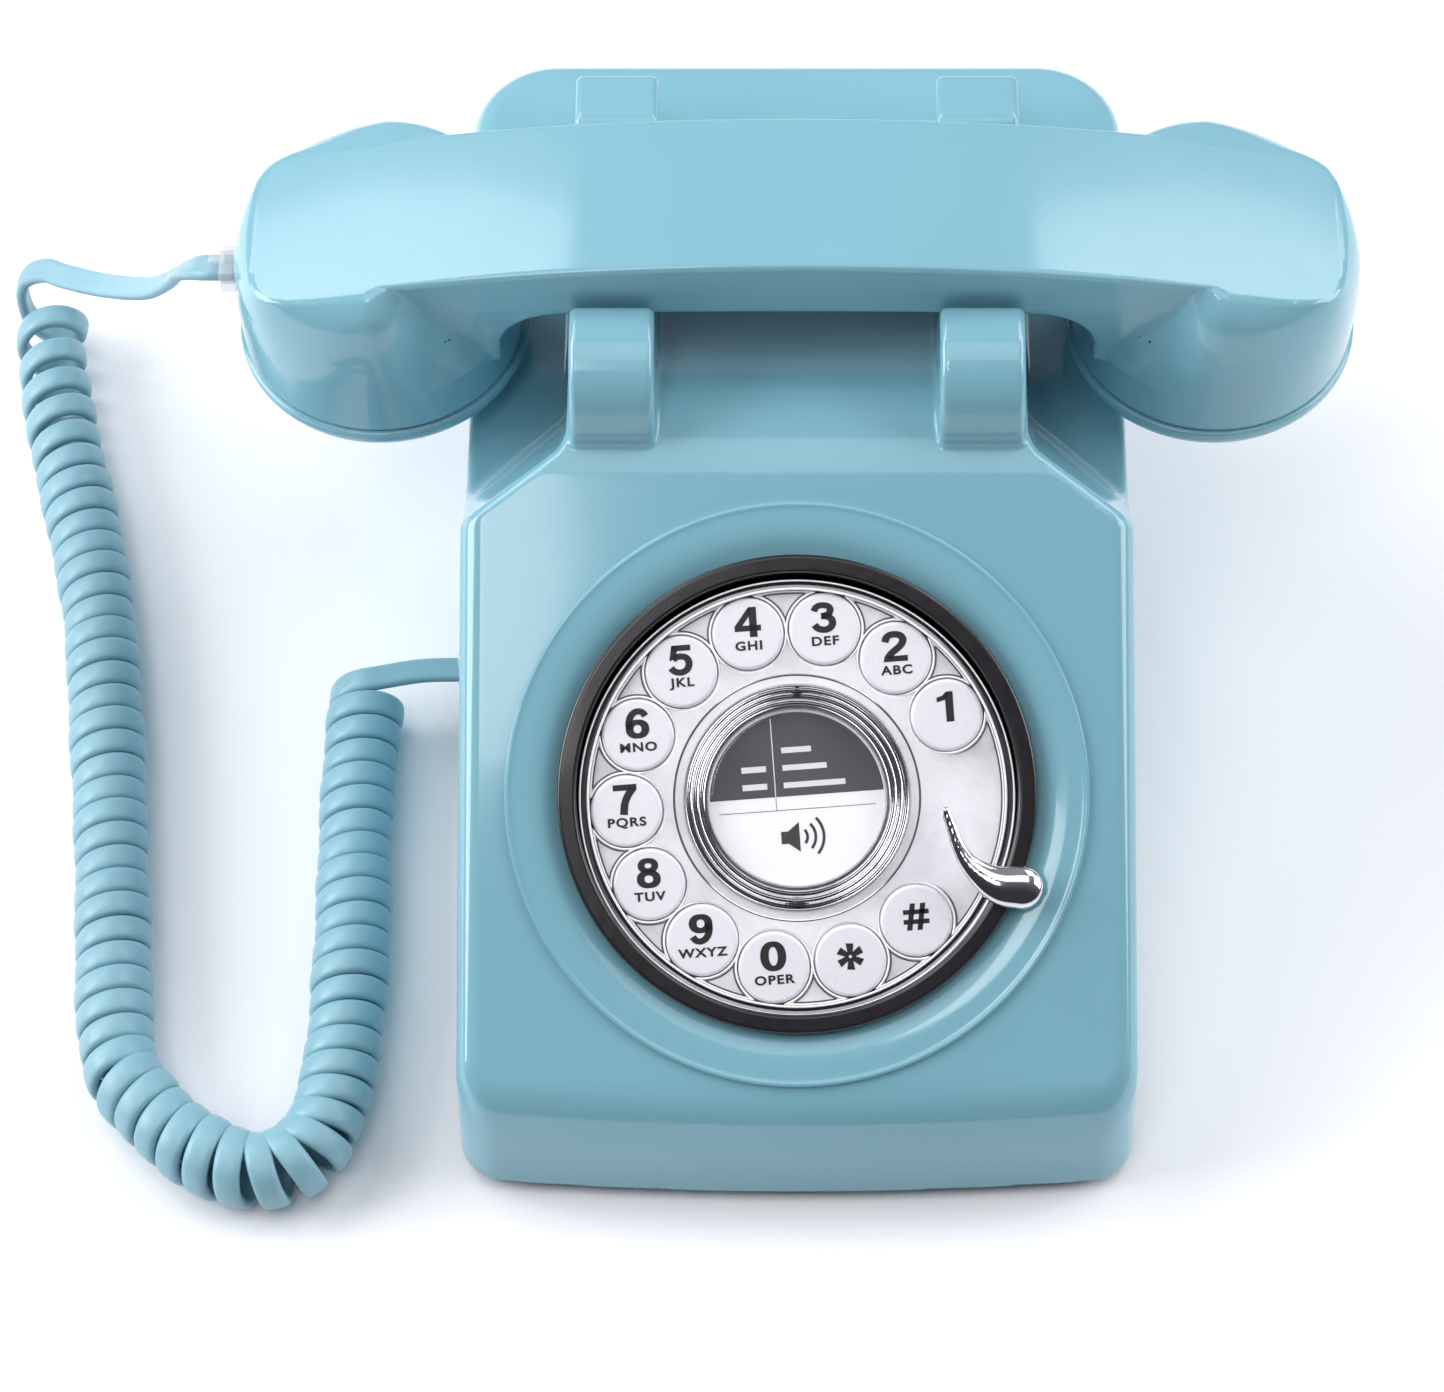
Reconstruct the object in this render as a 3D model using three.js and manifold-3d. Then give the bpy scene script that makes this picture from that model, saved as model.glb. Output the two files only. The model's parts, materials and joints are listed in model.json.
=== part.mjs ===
// Corded desk telephone with round push-button dial, handset and curly cord.
// Millimetres, +Z up. X is the phone's width, the front of the phone faces -Y.
import * as THREE from 'three';
import { mergeVertices } from 'three/addons/utils/BufferGeometryUtils.js';
import { ConvexGeometry } from 'three/addons/geometries/ConvexGeometry.js';
import Module from 'manifold-3d';

const wasm = await Module();
wasm.setup();

// ---------- driving dimensions ----------
const GAP = 0.3;                 // clearance between neighbouring pieces
const FRONT = -107.4;            // front lip of the casing at its rim
const BACK = 107.4;              // rear wall of the casing
const HALF_W = 66.5;             // half width of the casing at the foot
const DRAFT = 0.014;             // inward lean of the side walls
const RIM_Z = 3;                 // bottom rim of the casing
const TOP_Z = 93.5;              // flat top of the casing
const WALL = 3;
const TILT = THREE.MathUtils.degToRad(30.9);   // slope of the dial face
const LIP_Z = 22.2;              // top of the front lip
const LIP_LEAN = 0.115;          // how far the lip leans back per millimetre of height
const SLOPE_Y = -98.2;           // where the straight slope starts
const SLOPE_Z = 28.6;
const CREST_R = 30;              // rounding between slope and top
const SHOULDER_Z = 69;           // ledges below the handset cups
const CRADLE_X = 45;             // half width of the raised cradle
const HOOK_X = [27.6, 44.2];     // inner and outer face of each hook
const SEAT_Z = 104.1;            // where the handle rests
const DIAL_Y = -49.1;            // centre of the dial on the slope
const DIAL_Z = 58;
const DIAL_DROP = 0.7;           // keys and wheel sit this much lower than the ring
const KEY_R = 6.7;
const KEY_RING = 33.2;
const KEY_START = 28.9;          // degrees, first key
const KEY_STEP = 25.93;
const CUP_X = 83.4;              // handset cup centres
const HAND_Y = 50;               // centre plane of the handset
const HANDLE_HALF = 18.6;        // half width of the handle
const CUP_R = 29.1;
const CUP_Z = 72.5;              // underside of the cups
const SEAM_Z = 81.5;             // joint between cup and screw cap
const HAND_TOP = 120;            // top of the handle at mid span
const LEAD_D = 4;                // plain tube standing for the flat lead
const CURL_D = 15.5;             // outer diameter of the coil
const CURL_Z = CURL_D / 2 + 0.05;

// ---------- small helpers ----------
const V = (x, y, z) => new THREE.Vector3(x, y, z);
const arc = (cx, cy, r, a0, a1, n) => Array.from({ length: n + 1 }, (_, i) => {
  const a = THREE.MathUtils.degToRad(a0 + (a1 - a0) * i / n);
  return [cx + r * Math.cos(a), cy + r * Math.sin(a)];
});

function solid(geometry) {
  let g = geometry.index ? geometry : geometry.clone();
  g = g.clone();
  g.deleteAttribute('normal');
  g.deleteAttribute('uv');
  g = mergeVertices(g, 1e-4);
  return new wasm.Manifold(new wasm.Mesh({
    numProp: 3,
    vertProperties: new Float32Array(g.attributes.position.array),
    triVerts: new Uint32Array(g.index.array),
  }));
}

function toGeometry(man) {
  const m = man.getMesh();
  const g = new THREE.BufferGeometry();
  g.setAttribute('position', new THREE.BufferAttribute(new Float32Array(m.vertProperties), 3));
  g.setIndex(new THREE.BufferAttribute(new Uint32Array(m.triVerts), 1));
  g.computeVertexNormals();
  return g;
}

const union = (first, ...rest) => rest.reduce((a, b) => a.add(b), first);
const cut = (first, ...rest) => rest.reduce((a, b) => a.subtract(b), first);

const box = (x0, x1, y0, y1, z0, z1) => solid(
  new THREE.BoxGeometry(x1 - x0, y1 - y0, z1 - z0)
    .translate((x0 + x1) / 2, (y0 + y1) / 2, (z0 + z1) / 2));

// upright cylinder between two heights
const rod = (x, y, z0, z1, r, n = 16) => solid(
  new THREE.CylinderGeometry(r, r, z1 - z0, n).rotateX(Math.PI / 2).translate(x, y, (z0 + z1) / 2));

// revolved profile of [radius, height] pairs, closed on itself or on the axis
const turned = (profile, n = 32) => new THREE.LatheGeometry(
  profile.map(([r, h]) => new THREE.Vector2(r, h)), n).rotateX(Math.PI / 2);

const shapeOf = (points) => new THREE.Shape(points.map(([x, y]) => new THREE.Vector2(x, y)));

// outline in XY swept upwards
function slab(points, z0, z1, bevel = 0, segments = 2) {
  const g = new THREE.ExtrudeGeometry(shapeOf(points), {
    depth: z1 - z0 - 2 * bevel, bevelEnabled: bevel > 0, bevelThickness: bevel,
    bevelSize: bevel, bevelOffset: -bevel, bevelSegments: segments, curveSegments: 8,
  });
  return g.translate(0, 0, z0 + bevel);
}

// outline in YZ swept across X
function across(points, x0, x1, bevel = 0, segments = 2) {
  const g = slab(points, x0, x1, bevel, segments);
  const turn = new THREE.Matrix4().makeBasis(V(0, 1, 0), V(0, 0, 1), V(1, 0, 0));
  return g.applyMatrix4(turn);
}

// outline in XZ swept across Y
function along(points, y0, y1, bevel = 0, segments = 2) {
  const g = slab(points, -y1, -y0, bevel, segments);
  const turn = new THREE.Matrix4().makeBasis(V(1, 0, 0), V(0, 0, 1), V(0, -1, 0));
  return g.applyMatrix4(turn);
}

// closed skin through rings of equal point count, first ring lowest
function loft(rings) {
  const n = rings[0].length;
  const pos = rings.flat().flatMap((p) => [p.x, p.y, p.z]);
  const idx = [];
  for (let k = 0; k + 1 < rings.length; k++) {
    for (let i = 0; i < n; i++) {
      const a = k * n + i;
      const b = k * n + (i + 1) % n;
      idx.push(a, b, b + n, a, b + n, a + n);
    }
  }
  const centre = (ring) => ring.reduce((s, p) => s.add(p), V(0, 0, 0)).divideScalar(n);
  const low = centre(rings[0]);
  const high = centre(rings.at(-1));
  const lowAt = pos.length / 3;
  pos.push(low.x, low.y, low.z, high.x, high.y, high.z);
  const top = (rings.length - 1) * n;
  for (let i = 0; i < n; i++) {
    const j = (i + 1) % n;
    idx.push(lowAt, j, i, lowAt + 1, top + i, top + j);
  }
  const g = new THREE.BufferGeometry();
  g.setAttribute('position', new THREE.Float32BufferAttribute(pos, 3));
  g.setIndex(idx);
  return g;
}

// plain round tube through the given points
function tube(points, d, sides, steps) {
  const path = new THREE.CatmullRomCurve3(points.map(([x, y, z]) => V(x, y, z)), false, 'centripetal');
  const ring = arc(0, 0, d / 2, 0, 360 - 360 / sides, sides - 1);
  return new THREE.ExtrudeGeometry(shapeOf(ring), {
    steps, bevelEnabled: false, extrudePath: path, curveSegments: 1,
  });
}

// ---------- scene graph ----------
const phone = new THREE.Group();
phone.name = 'desk_telephone';
function piece(name, shape, colour) {
  const g = shape.isBufferGeometry ? shape : toGeometry(shape);
  const mesh = new THREE.Mesh(g, new THREE.MeshStandardMaterial({ color: colour, roughness: 0.5 }));
  mesh.name = name;
  phone.add(mesh);
}
const TEAL = '#86bccb';
const CORD = '#74a7b6';
const BLACK = '#242226';
const WHITE = '#e6e4ec';
const CLEAR = '#d3d6dd';
const CHROME = '#b9bcc2';
const STEEL = '#8d9096';
const BOARD = '#2f6b4a';
const DARK = '#303338';

// ---------- casing ----------
const tan = Math.tan(TILT);
const slopeZ = (y) => SLOPE_Z + (y - SLOPE_Y) * tan;
const crestY = SLOPE_Y + (TOP_Z - SLOPE_Z) / tan;   // where the slope would meet the top
const crestLen = CREST_R * Math.tan(TILT / 2);

// side view of the casing, shrunk by t on every face that matters inside
function sideView(t, floor, top) {
  const lift = t / Math.cos(TILT);
  const crest = arc(crestY + crestLen, TOP_Z - CREST_R, CREST_R - t, 90 + 30.9, 90, 5);
  const upper = crest.map(([y, z]) => [y, Math.min(z, top)]);
  const limited = top < TOP_Z - t;
  const slopeEnd = SLOPE_Y + (top + lift - SLOPE_Z) / tan;
  return [
    [FRONT + t - LIP_LEAN * (RIM_Z - floor), floor], [BACK - t, floor], [BACK - t, (limited ? top : TOP_Z - t - 4)],
    ...(limited ? [] : arc(BACK - t - 4, TOP_Z - t - 4, 4, 22, 90, 3)),
    ...(limited ? [[slopeEnd, top]] : upper.reverse()),
    [SLOPE_Y, SLOPE_Z - lift], [SLOPE_Y - 3.9, SLOPE_Z - lift - 2.7],
    [FRONT + t + LIP_LEAN * (LIP_Z - lift - RIM_Z), LIP_Z - lift],
  ];
}

// plan view of the casing with bowed front and rounded corners
function planView(t) {
  const w = HALF_W - t;
  const f = 8.5 - t / 2;
  const b = 17 - t / 2;
  const y0 = FRONT + 2.4 + t;
  const bow = Array.from({ length: 9 }, (_, i) => {
    const x = -(w - f) + 2 * (w - f) * i / 8;
    return [x, y0 - 2.4 * (1 - (x / (w - f)) ** 2)];
  });
  return [
    ...arc(-w + f, y0 + f, f, 180, 262, 5), ...bow.slice(1, -1), ...arc(w - f, y0 + f, f, 278, 360, 5),
    ...arc(w - b, BACK - t - b, b, 0, 90, 6), ...arc(-w + b, BACK - t - b, b, 90, 180, 6),
  ];
}

// wedge that clears the room under one cup: side = -1 left, +1 right
function shoulderCut(side, grow, depth) {
  const foot = [[-47.2, 31.7], [-66.7, 11.2], [-86.2, -9.3]];
  const brow = [[-CRADLE_X, 9.1, 92.8], [-65.4, -9.5, 81.7], [-86, -28.3, 70.5]];
  const z = SHOULDER_Z - depth;
  const pts = [];
  for (const [x, y] of foot) pts.push(V(x + grow, y - grow, z));
  for (const [x, y, h] of brow) pts.push(V(x + grow, y - grow, h - depth), V(x + grow, y - grow, 140));
  for (const x of [-CRADLE_X + grow, -86]) {
    pts.push(V(x, 84 + grow, z), V(x, 84 + grow, 140));
  }
  pts.push(V(-CRADLE_X + grow, 34, z), V(-CRADLE_X + grow, 34, 140));
  const g = new ConvexGeometry(pts.map((p) => V(side * -p.x, p.y, p.z)));
  return solid(g);
}

// map from the dial's own frame (u across, v up the slope, h out of it) to the phone
const dialFrame = new THREE.Matrix4()
  .makeBasis(V(1, 0, 0), V(0, Math.cos(TILT), Math.sin(TILT)), V(0, -Math.sin(TILT), Math.cos(TILT)))
  .setPosition(0, DIAL_Y, DIAL_Z);
const onDial = (g, u = 0, v = 0) => g.translate(u, v, 0).applyMatrix4(dialFrame);
const dialRod = (u, v, h0, h1, r, n = 16) => solid(onDial(
  new THREE.CylinderGeometry(r, r, h1 - h0, n).rotateX(Math.PI / 2).translate(u, v, (h0 + h1) / 2)));
const STOP = { u: 45, v: -17.8 };                 // pivot end of the finger stop
const SCREWS = [[-50, -88], [50, -88], [-46, 91], [46, 91]];
const BASE_SOCKET = { y: 8, z: 14.3 };
const LINE_SOCKET = { x: -30, z: 14.5 };
const PLUNGER_Y = 51;
const PLUNGER_X = 36;

function hookView(rear) {
  if (rear) {
    return [[70.2, 90], [88.1, 90], [88.1, 107.6], [87.4, 109.3], [85.8, 110], [76.8, 110],
      [75.5, 109.4], [70.2, 103]];
  }
  return [[9.1, 88], [30.6, 88], [30.6, 103], [28.9, 109], [27.6, 110], [24.5, 110], [21, 109.5],
    [17.6, 108], [14.4, 105.2], [11.6, 100.8], [9.6, 95.4]];
}

function makeCasing() {
  let outer = solid(across(sideView(0, -12, TOP_Z), -HALF_W, HALF_W, 3.4, 3));
  outer = outer.intersect(solid(slab(planView(0), RIM_Z, 130)));
  const g = toGeometry(outer);
  const p = g.attributes.position;
  for (let i = 0; i < p.count; i++) {
    p.setX(i, p.getX(i) * (1 - DRAFT * (p.getZ(i) - RIM_Z) / (TOP_Z - RIM_Z)));
  }
  outer = solid(g);
  outer = cut(outer, shoulderCut(-1, 0, 0), shoulderCut(1, 0, 0));
  // scoop for the fingers between the hooks
  const scoop = new THREE.CylinderGeometry(45, 45, 2 * (HOOK_X[0] - 0.4), 40).rotateZ(Math.PI / 2)
    .translate(0, PLUNGER_Y, 86 + 45);
  outer = outer.subtract(solid(scoop));
  for (const side of [-1, 1]) {
    const [a, b] = side < 0 ? [-HOOK_X[1], -HOOK_X[0]] : HOOK_X;
    outer = union(outer,
      solid(across(hookView(false), a, b, 1.1, 2)),
      solid(across(hookView(true), a, b, 1.1, 2)),
      box(a + 1, b - 1, 28, 74, 88, SEAT_Z));
  }
  // hollow inside: low part over the full width, high part between the shoulders
  const inside = solid(slab(planView(WALL + 1), -20, 130));
  const low = solid(across(sideView(WALL, -15, SHOULDER_Z - WALL), -HALF_W + WALL, HALF_W - WALL));
  const high = solid(across(sideView(WALL, -15, 82.8), -CRADLE_X + WALL, CRADLE_X - WALL));
  let shell = outer.subtract(union(low, high).intersect(inside));
  // pillars for the casing screws
  for (const [x, y] of SCREWS) {
    const roof = y < 0 ? slopeZ(y) - 5 : SHOULDER_Z + 8;
    shell = union(shell, rod(x, y, 5.8, roof, 4.2, 12));
  }
  for (const [x, y] of SCREWS) shell = shell.subtract(rod(x, y, 0, 16, 1.8, 10));
  // dial opening with its step
  shell = cut(shell, dialRod(0, 0, -1.5, 12, 57, 48), dialRod(0, 0, -12, 12, 51.2, 40));
  // plunger holes and sockets
  for (const side of [-1, 1]) shell = shell.subtract(rod(side * PLUNGER_X, PLUNGER_Y, 78, 120, 3.4, 16));
  const s = BASE_SOCKET;
  shell = shell.subtract(box(-72, -58, s.y - 4.3, s.y + 4.3, s.z - 4, s.z + 4));
  const l = LINE_SOCKET;
  return shell.subtract(box(l.x - 6.2, l.x + 6.2, 100, 112, l.z - 6, l.z + 6));
}
piece('upper_casing', makeCasing(), TEAL);

// ---------- underside ----------
function makeBase() {
  let plate = solid(slab(planView(WALL + 1.4 + GAP), RIM_Z + 0.2, RIM_Z + 2.4));
  for (const [x, y] of SCREWS) {
    plate = cut(plate, rod(x, y, 0, 9, 1.8, 12), rod(x, y, 0, RIM_Z + 1.6, 3.4, 16));
  }
  // sound slots below the loudspeaker
  for (let i = -3; i <= 3; i++) plate = plate.subtract(box(i * 5 - 1, i * 5 + 1, -66, -44, 0, 9));
  return plate;
}
piece('base_plate', makeBase(), DARK);
const FEET = [[-44, -72], [44, -72], [-44, 74], [44, 74]];
FEET.forEach(([x, y], i) => {
  piece(`foot_${i + 1}`, turned([[0, 0], [6.4, 0], [7, 0.6], [7, 2.9], [0, 2.9]], 14).translate(x, y, 0), BLACK);
});
SCREWS.forEach(([x, y], i) => {
  let screw = solid(turned([[0, 3.4], [2.4, 3.4], [3, 3.9], [3, 4.3], [1.5, 4.3], [1.5, 15], [0, 15]], 10)
    .translate(x, y, 0));
  screw = cut(screw, box(x - 2, x + 2, y - 0.35, y + 0.35, 3, 3.9), box(x - 0.35, x + 0.35, y - 2, y + 2, 3, 3.9));
  piece(`casing_screw_${i + 1}`, screw, STEEL);
});

// ---------- dial ----------
const centreV = -DIAL_DROP;
const keyAt = (i) => {
  const a = THREE.MathUtils.degToRad(KEY_START + KEY_STEP * i);
  return [KEY_RING * Math.cos(a), centreV + KEY_RING * Math.sin(a)];
};
const KEYS = ['1', '2', '3', '4', '5', '6', '7', '8', '9', '0', 'star', 'hash'];

piece('bezel_ring', solid(onDial(turned([
  [46.9, -1.2], [56.6, -1.2], [56.6, 0.9], [56.1, 1.4], [55.2, 1.3], [46.9, 0.2], [46.9, -1.2],
], 48))).subtract(dialRod(STOP.u, STOP.v, -5, 5, 2.4, 14)), TEAL);

piece('dial_surround', solid(onDial(turned([
  [43, -8], [46, -8], [46, -3.4], [50.6, -3.4], [50.6, -1.6], [46.5, -1.6], [46.5, 0.7], [45.8, 1.4],
  [43.8, 1.4], [43, 0.7], [43, -8],
], 36))).subtract(dialRod(STOP.u, STOP.v, -10, 5, 2.4, 14)), BLACK);

let plate = solid(onDial(turned([[0, -6.4], [42.2, -6.4], [42.2, -4.9], [0, -4.9]], 32), 0, centreV));
let wheel = solid(onDial(turned([
  [22, -3.1], [42, -3.1], [42, 1.1], [40.8, 1.1], [40.2, -1.5], [22, -1.5], [22, -3.1],
], 36), 0, centreV));
KEYS.forEach((_, i) => {
  const [u, v] = keyAt(i);
  plate = plate.subtract(dialRod(u, v, -9, 0, 2.9, 8));
  wheel = wheel.subtract(dialRod(u, v, -9, 5, KEY_R + 0.6, 12));
});
plate = plate.subtract(dialRod(0, centreV, -9, 0, 4.4, 12));
piece('number_plate', plate, WHITE);
piece('finger_wheel', wheel, CLEAR);
piece('hub_ring', onDial(turned([
  [17.9, -3.1], [21.7, -3.1], [21.7, -0.6], [20.6, 0.6], [19.2, 1], [17.9, 0.7], [17.9, -3.1],
], 32), 0, centreV), CHROME);
KEYS.forEach((label, i) => {
  const [u, v] = keyAt(i);
  piece(`key_${label}`, onDial(turned([
    [0, -8.2], [2.5, -8.2], [2.5, -3.4], [KEY_R, -3.4], [KEY_R, -0.9], [6, -0.35], [0, -0.1],
  ], 16), u, v), WHITE);
});
piece('centre_button', onDial(turned([
  [0, -8.2], [4, -8.2], [4, -3.6], [17.5, -3.6], [17.5, -1.9], [0, -1.9],
], 28), 0, centreV), WHITE);
piece('centre_card', onDial(turned([[0, -1.6], [17, -1.6], [17, -1.2], [0, -1.2]], 28), 0, centreV), WHITE);
piece('centre_lens', onDial(turned([[0, -0.9], [17.5, -0.9], [17.5, -0.1], [16.8, 0.4], [0, 0.5]], 28), 0, centreV),
  CLEAR);

// finger stop: a comma from the pressed end to a thin tip over the wheel
function makeStop() {
  const outline = new THREE.Shape();
  outline.moveTo(STOP.u + 1.9, STOP.v + 3.6);
  outline.bezierCurveTo(STOP.u + 4.2, STOP.v + 0.6, STOP.u + 2.9, STOP.v - 4.3, STOP.u - 0.6, STOP.v - 4.5);
  outline.bezierCurveTo(40, -22.6, 36.4, -20.6, 33.6, -16.8);
  outline.bezierCurveTo(31.6, -13.6, 30.6, -9, 29, -4.2);
  outline.lineTo(29.8, -3.8);
  outline.bezierCurveTo(31.6, -7.2, 32.4, -11.2, 35.4, -12.8);
  outline.bezierCurveTo(38.6, -14, 42, -13.4, STOP.u + 1.9, STOP.v + 3.6);
  const g = new THREE.ExtrudeGeometry(outline, {
    depth: 1.1, bevelEnabled: true, bevelThickness: 0.35, bevelSize: 0.3, bevelOffset: -0.3,
    bevelSegments: 1, curveSegments: 6,
  }).translate(0, 0, 3.05);
  return union(solid(onDial(g)), dialRod(STOP.u, STOP.v, -7, 3.6, 1.8, 14));
}
piece('finger_stop', makeStop(), CHROME);
piece('keypad_mat', onDial(turned([[0, -11], [41, -11], [41, -9.7], [0, -9.7]], 24), 0, centreV), DARK);
piece('keypad_board', onDial(turned([[0, -12.9], [42, -12.9], [42, -11.3], [0, -11.3]], 24), 0, centreV), BOARD);

// ---------- works inside the casing ----------
piece('main_board', box(-52, 30, -34, 30, 20, 21.6).subtract(box(-60, -46, 0, 16, 15, 25)), BOARD);
piece('loudspeaker', turned([
  [0, 6.2], [24, 6.2], [25, 7.4], [25, 9.2], [14, 15], [11, 15.3], [11, 19], [0, 19],
], 24).translate(0, -55, 0), DARK);
piece('ballast_weight', box(-30, 34, 38, 66, 5.8, 13), STEEL);
piece('hook_bracket', union(box(-14, 14, 72, 74, 5.8, 62), box(-14, 14, 44, 73, 60, 62)), STEEL);
piece('hook_switch', union(box(-9, 9, 46, 56, 62.3, 69.5), box(-1.5, 1.5, 49, 53, 69, 71.7)), DARK);
piece('hook_bar', box(-40, 40, PLUNGER_Y - 4, PLUNGER_Y + 4, 72, 76), DARK);
for (const [name, side] of [['hook_plunger_left', -1], ['hook_plunger_right', 1]]) {
  piece(name, turned([[0, 76.3], [4.4, 76.3], [4.4, 77.6], [3, 77.6], [3, 103.6], [2.2, 104.4], [0, 104.4]], 14)
    .translate(side * PLUNGER_X, PLUNGER_Y, 0), BLACK);
}
function socketBox(depth) {
  // mouth faces -X at x = 0
  return cut(box(0, depth, -5.6, 5.6, -5.2, 5.2), box(-1, depth - 2, -4.2, 4.2, -3.8, 3.8));
}
piece('base_socket', socketBox(14).translate([-HALF_W + WALL + 1.6, BASE_SOCKET.y, BASE_SOCKET.z]), DARK);
piece('line_socket', cut(
  box(LINE_SOCKET.x - 7.5, LINE_SOCKET.x + 7.5, 88, 102.6, LINE_SOCKET.z - 7, LINE_SOCKET.z + 7),
  box(LINE_SOCKET.x - 5.6, LINE_SOCKET.x + 5.6, 90, 104, LINE_SOCKET.z - 4.6, LINE_SOCKET.z + 4.6)), DARK);

// ---------- handset ----------
const handleTop = (x) => HAND_TOP - 7.4 * (Math.abs(x) / CUP_X) ** 2.2;

function handleView(t) {
  const half = 86;
  const top = Array.from({ length: 15 }, (_, i) => {
    const x = half - 2 * half * i / 14;
    return [x, handleTop(x) - t];
  });
  const under = [[-78, 88], [-62, 85.5], [-58.2, 88.2], [-58.3, 93.6], [-56.4, 98.8], [-52.4, 102.6],
    [-47, 104.3], [-36, 104.7], [-18, 105.1], [0, 105.3]].map(([x, z]) => [x, z + t]);
  const mirrored = under.slice(0, -1).map(([x, z]) => [-x, z]).reverse();
  return [...top, ...under, ...mirrored];
}

// rings of one cup, from its seam to the top face; side = -1 left, +1 right
function cupRings(side, shrink = 0) {
  const n = 32;
  const rings = [];
  const dome = [0, 0.1, 0.3, 0.55, 0.8, 1];
  const base = 88;
  const outline = (z, radiusOf, heightOf) => Array.from({ length: n }, (_, i) => {
    const a = 2 * Math.PI * i / n;                    // 0 points away from the phone's middle
    const r = radiusOf(a) - shrink;
    const lean = 1.6 * (Math.min(z, 100) - CUP_Z) / 40;
    const x = CUP_X - 0.6 + lean + r * Math.cos(a);
    return V(side * x, HAND_Y + 0.9 * Math.min(1, (112 - z) / 14) + side * r * Math.sin(a), heightOf(x));
  });
  rings.push(outline(SEAM_Z, () => CUP_R, () => SEAM_Z));
  const topRadius = (a) => {
    const c = Math.cos(a);
    if (c <= 0) return HANDLE_HALF;
    return ((c / 21.4) ** 5 + (Math.abs(Math.sin(a)) / HANDLE_HALF) ** 5) ** -0.2;
  };
  for (const u of dome.slice().reverse()) {          // u = 1 at the foot of the dome, 0 at its top
    rings.push(outline(base + 24 * (1 - u), (a) => {
      const inner = THREE.MathUtils.smoothstep(-Math.cos(a), 0.05, 0.6);
      const round = Math.sin(Math.acos(Math.max(0, 1 - Math.min(1, 1.15 * u) * 0.9 - 0.1 * (u > 0))));
      const grow = THREE.MathUtils.lerp(u > 0 ? Math.min(1, round) : 0, u ** 1.3, inner);
      return THREE.MathUtils.lerp(topRadius(a), CUP_R, grow);
    }, (x) => THREE.MathUtils.lerp(handleTop(Math.min(x, 105)) - 0.05, base, u)));
  }
  return rings;
}

const HAND_SOCKET = { y: HAND_Y + 1, z: 94.5 };
function makeHandset() {
  let body = solid(along(handleView(0), HAND_Y - HANDLE_HALF, HAND_Y + HANDLE_HALF, 1, 2));
  for (const side of [-1, 1]) body = body.add(solid(loft(cupRings(side))));
  // spigots that carry the caps
  for (const side of [-1, 1]) body = body.add(rod(side * (CUP_X - 0.6), HAND_Y + 0.9, 77, SEAM_Z + 1, 25.6, 28));
  // hollow cups and handle
  for (const side of [-1, 1]) {
    body = body.subtract(rod(side * (CUP_X - 0.6), HAND_Y + 0.9, 70, 96, 23.4, 24));
    body = body.subtract(rod(side * (CUP_X - 2), HAND_Y + 0.9, 90, 104, 15, 16));
  }
  const hollow = handleView(3.1).filter(([x, z]) => Math.abs(x) < 77 && z > 90);
  body = body.subtract(solid(along(hollow, HAND_Y - HANDLE_HALF + 3, HAND_Y + HANDLE_HALF - 3)));
  const s = HAND_SOCKET;
  return cut(body, box(-120, -100, s.y - 4.3, s.y + 4.3, s.z - 4, s.z + 4),
    box(-107.9, -94.3, s.y - 5.9, s.y + 5.9, s.z - 5.5, s.z + 5.5));
}
piece('handset_body', makeHandset(), TEAL);
for (const [name, side] of [['earpiece_cap', 1], ['mouthpiece_cap', -1]]) {
  let cap = solid(turned([
    [0, CUP_Z], [25.2, CUP_Z], [27.6, CUP_Z + 0.9], [28.8, CUP_Z + 2.8], [CUP_R, CUP_Z + 5],
    [CUP_R, SEAM_Z - GAP], [26, SEAM_Z - GAP], [26, CUP_Z + 4], [24.6, CUP_Z + 2.6], [0, CUP_Z + 2.6],
  ], 32).translate(side * (CUP_X - 0.6), HAND_Y + 0.9, 0));
  for (let i = 0; i < 7; i++) {
    const a = i * Math.PI / 3;
    const r = i < 6 ? 8 : 0;
    cap = cap.subtract(rod(side * (CUP_X - 0.6) + r * Math.cos(a), HAND_Y + 0.9 + r * Math.sin(a), 70, 80, 1.3, 7));
  }
  piece(name, cap, TEAL);
}
piece('receiver_capsule', turned([[0, 75.5], [20, 75.5], [21, 76.5], [21, 84], [14, 87.5], [0, 87.5]], 20)
  .translate(CUP_X - 0.6, HAND_Y + 0.9, 0), DARK);
piece('microphone_capsule', turned([[0, 75.5], [12, 75.5], [13, 76.5], [13, 82], [0, 82]], 18)
  .translate(-CUP_X + 0.6, HAND_Y + 0.9, 0), DARK);
piece('handset_weight', box(-32, 32, HAND_Y - 9, HAND_Y + 9, 109, 114.6), STEEL);
piece('handset_socket', socketBox(13).translate([-107.6, HAND_SOCKET.y, HAND_SOCKET.z]), DARK);

// ---------- cord ----------
function plug(bodyLength) {
  // tip at +X, latch on top, lead leaves at x = 0 towards -X
  const block = box(0, bodyLength, -3.8, 3.8, -3.3, 2.9);
  const latch = box(-1.6, 6, -1.6, 1.6, 2.8, 3.5);
  return union(block, latch);
}
piece('handset_plug', plug(12.4).translate([-114.4, HAND_SOCKET.y, HAND_SOCKET.z]), CLEAR);
piece('base_plug', plug(12.4).translate([-68.2, BASE_SOCKET.y, BASE_SOCKET.z]), CLEAR);

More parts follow.
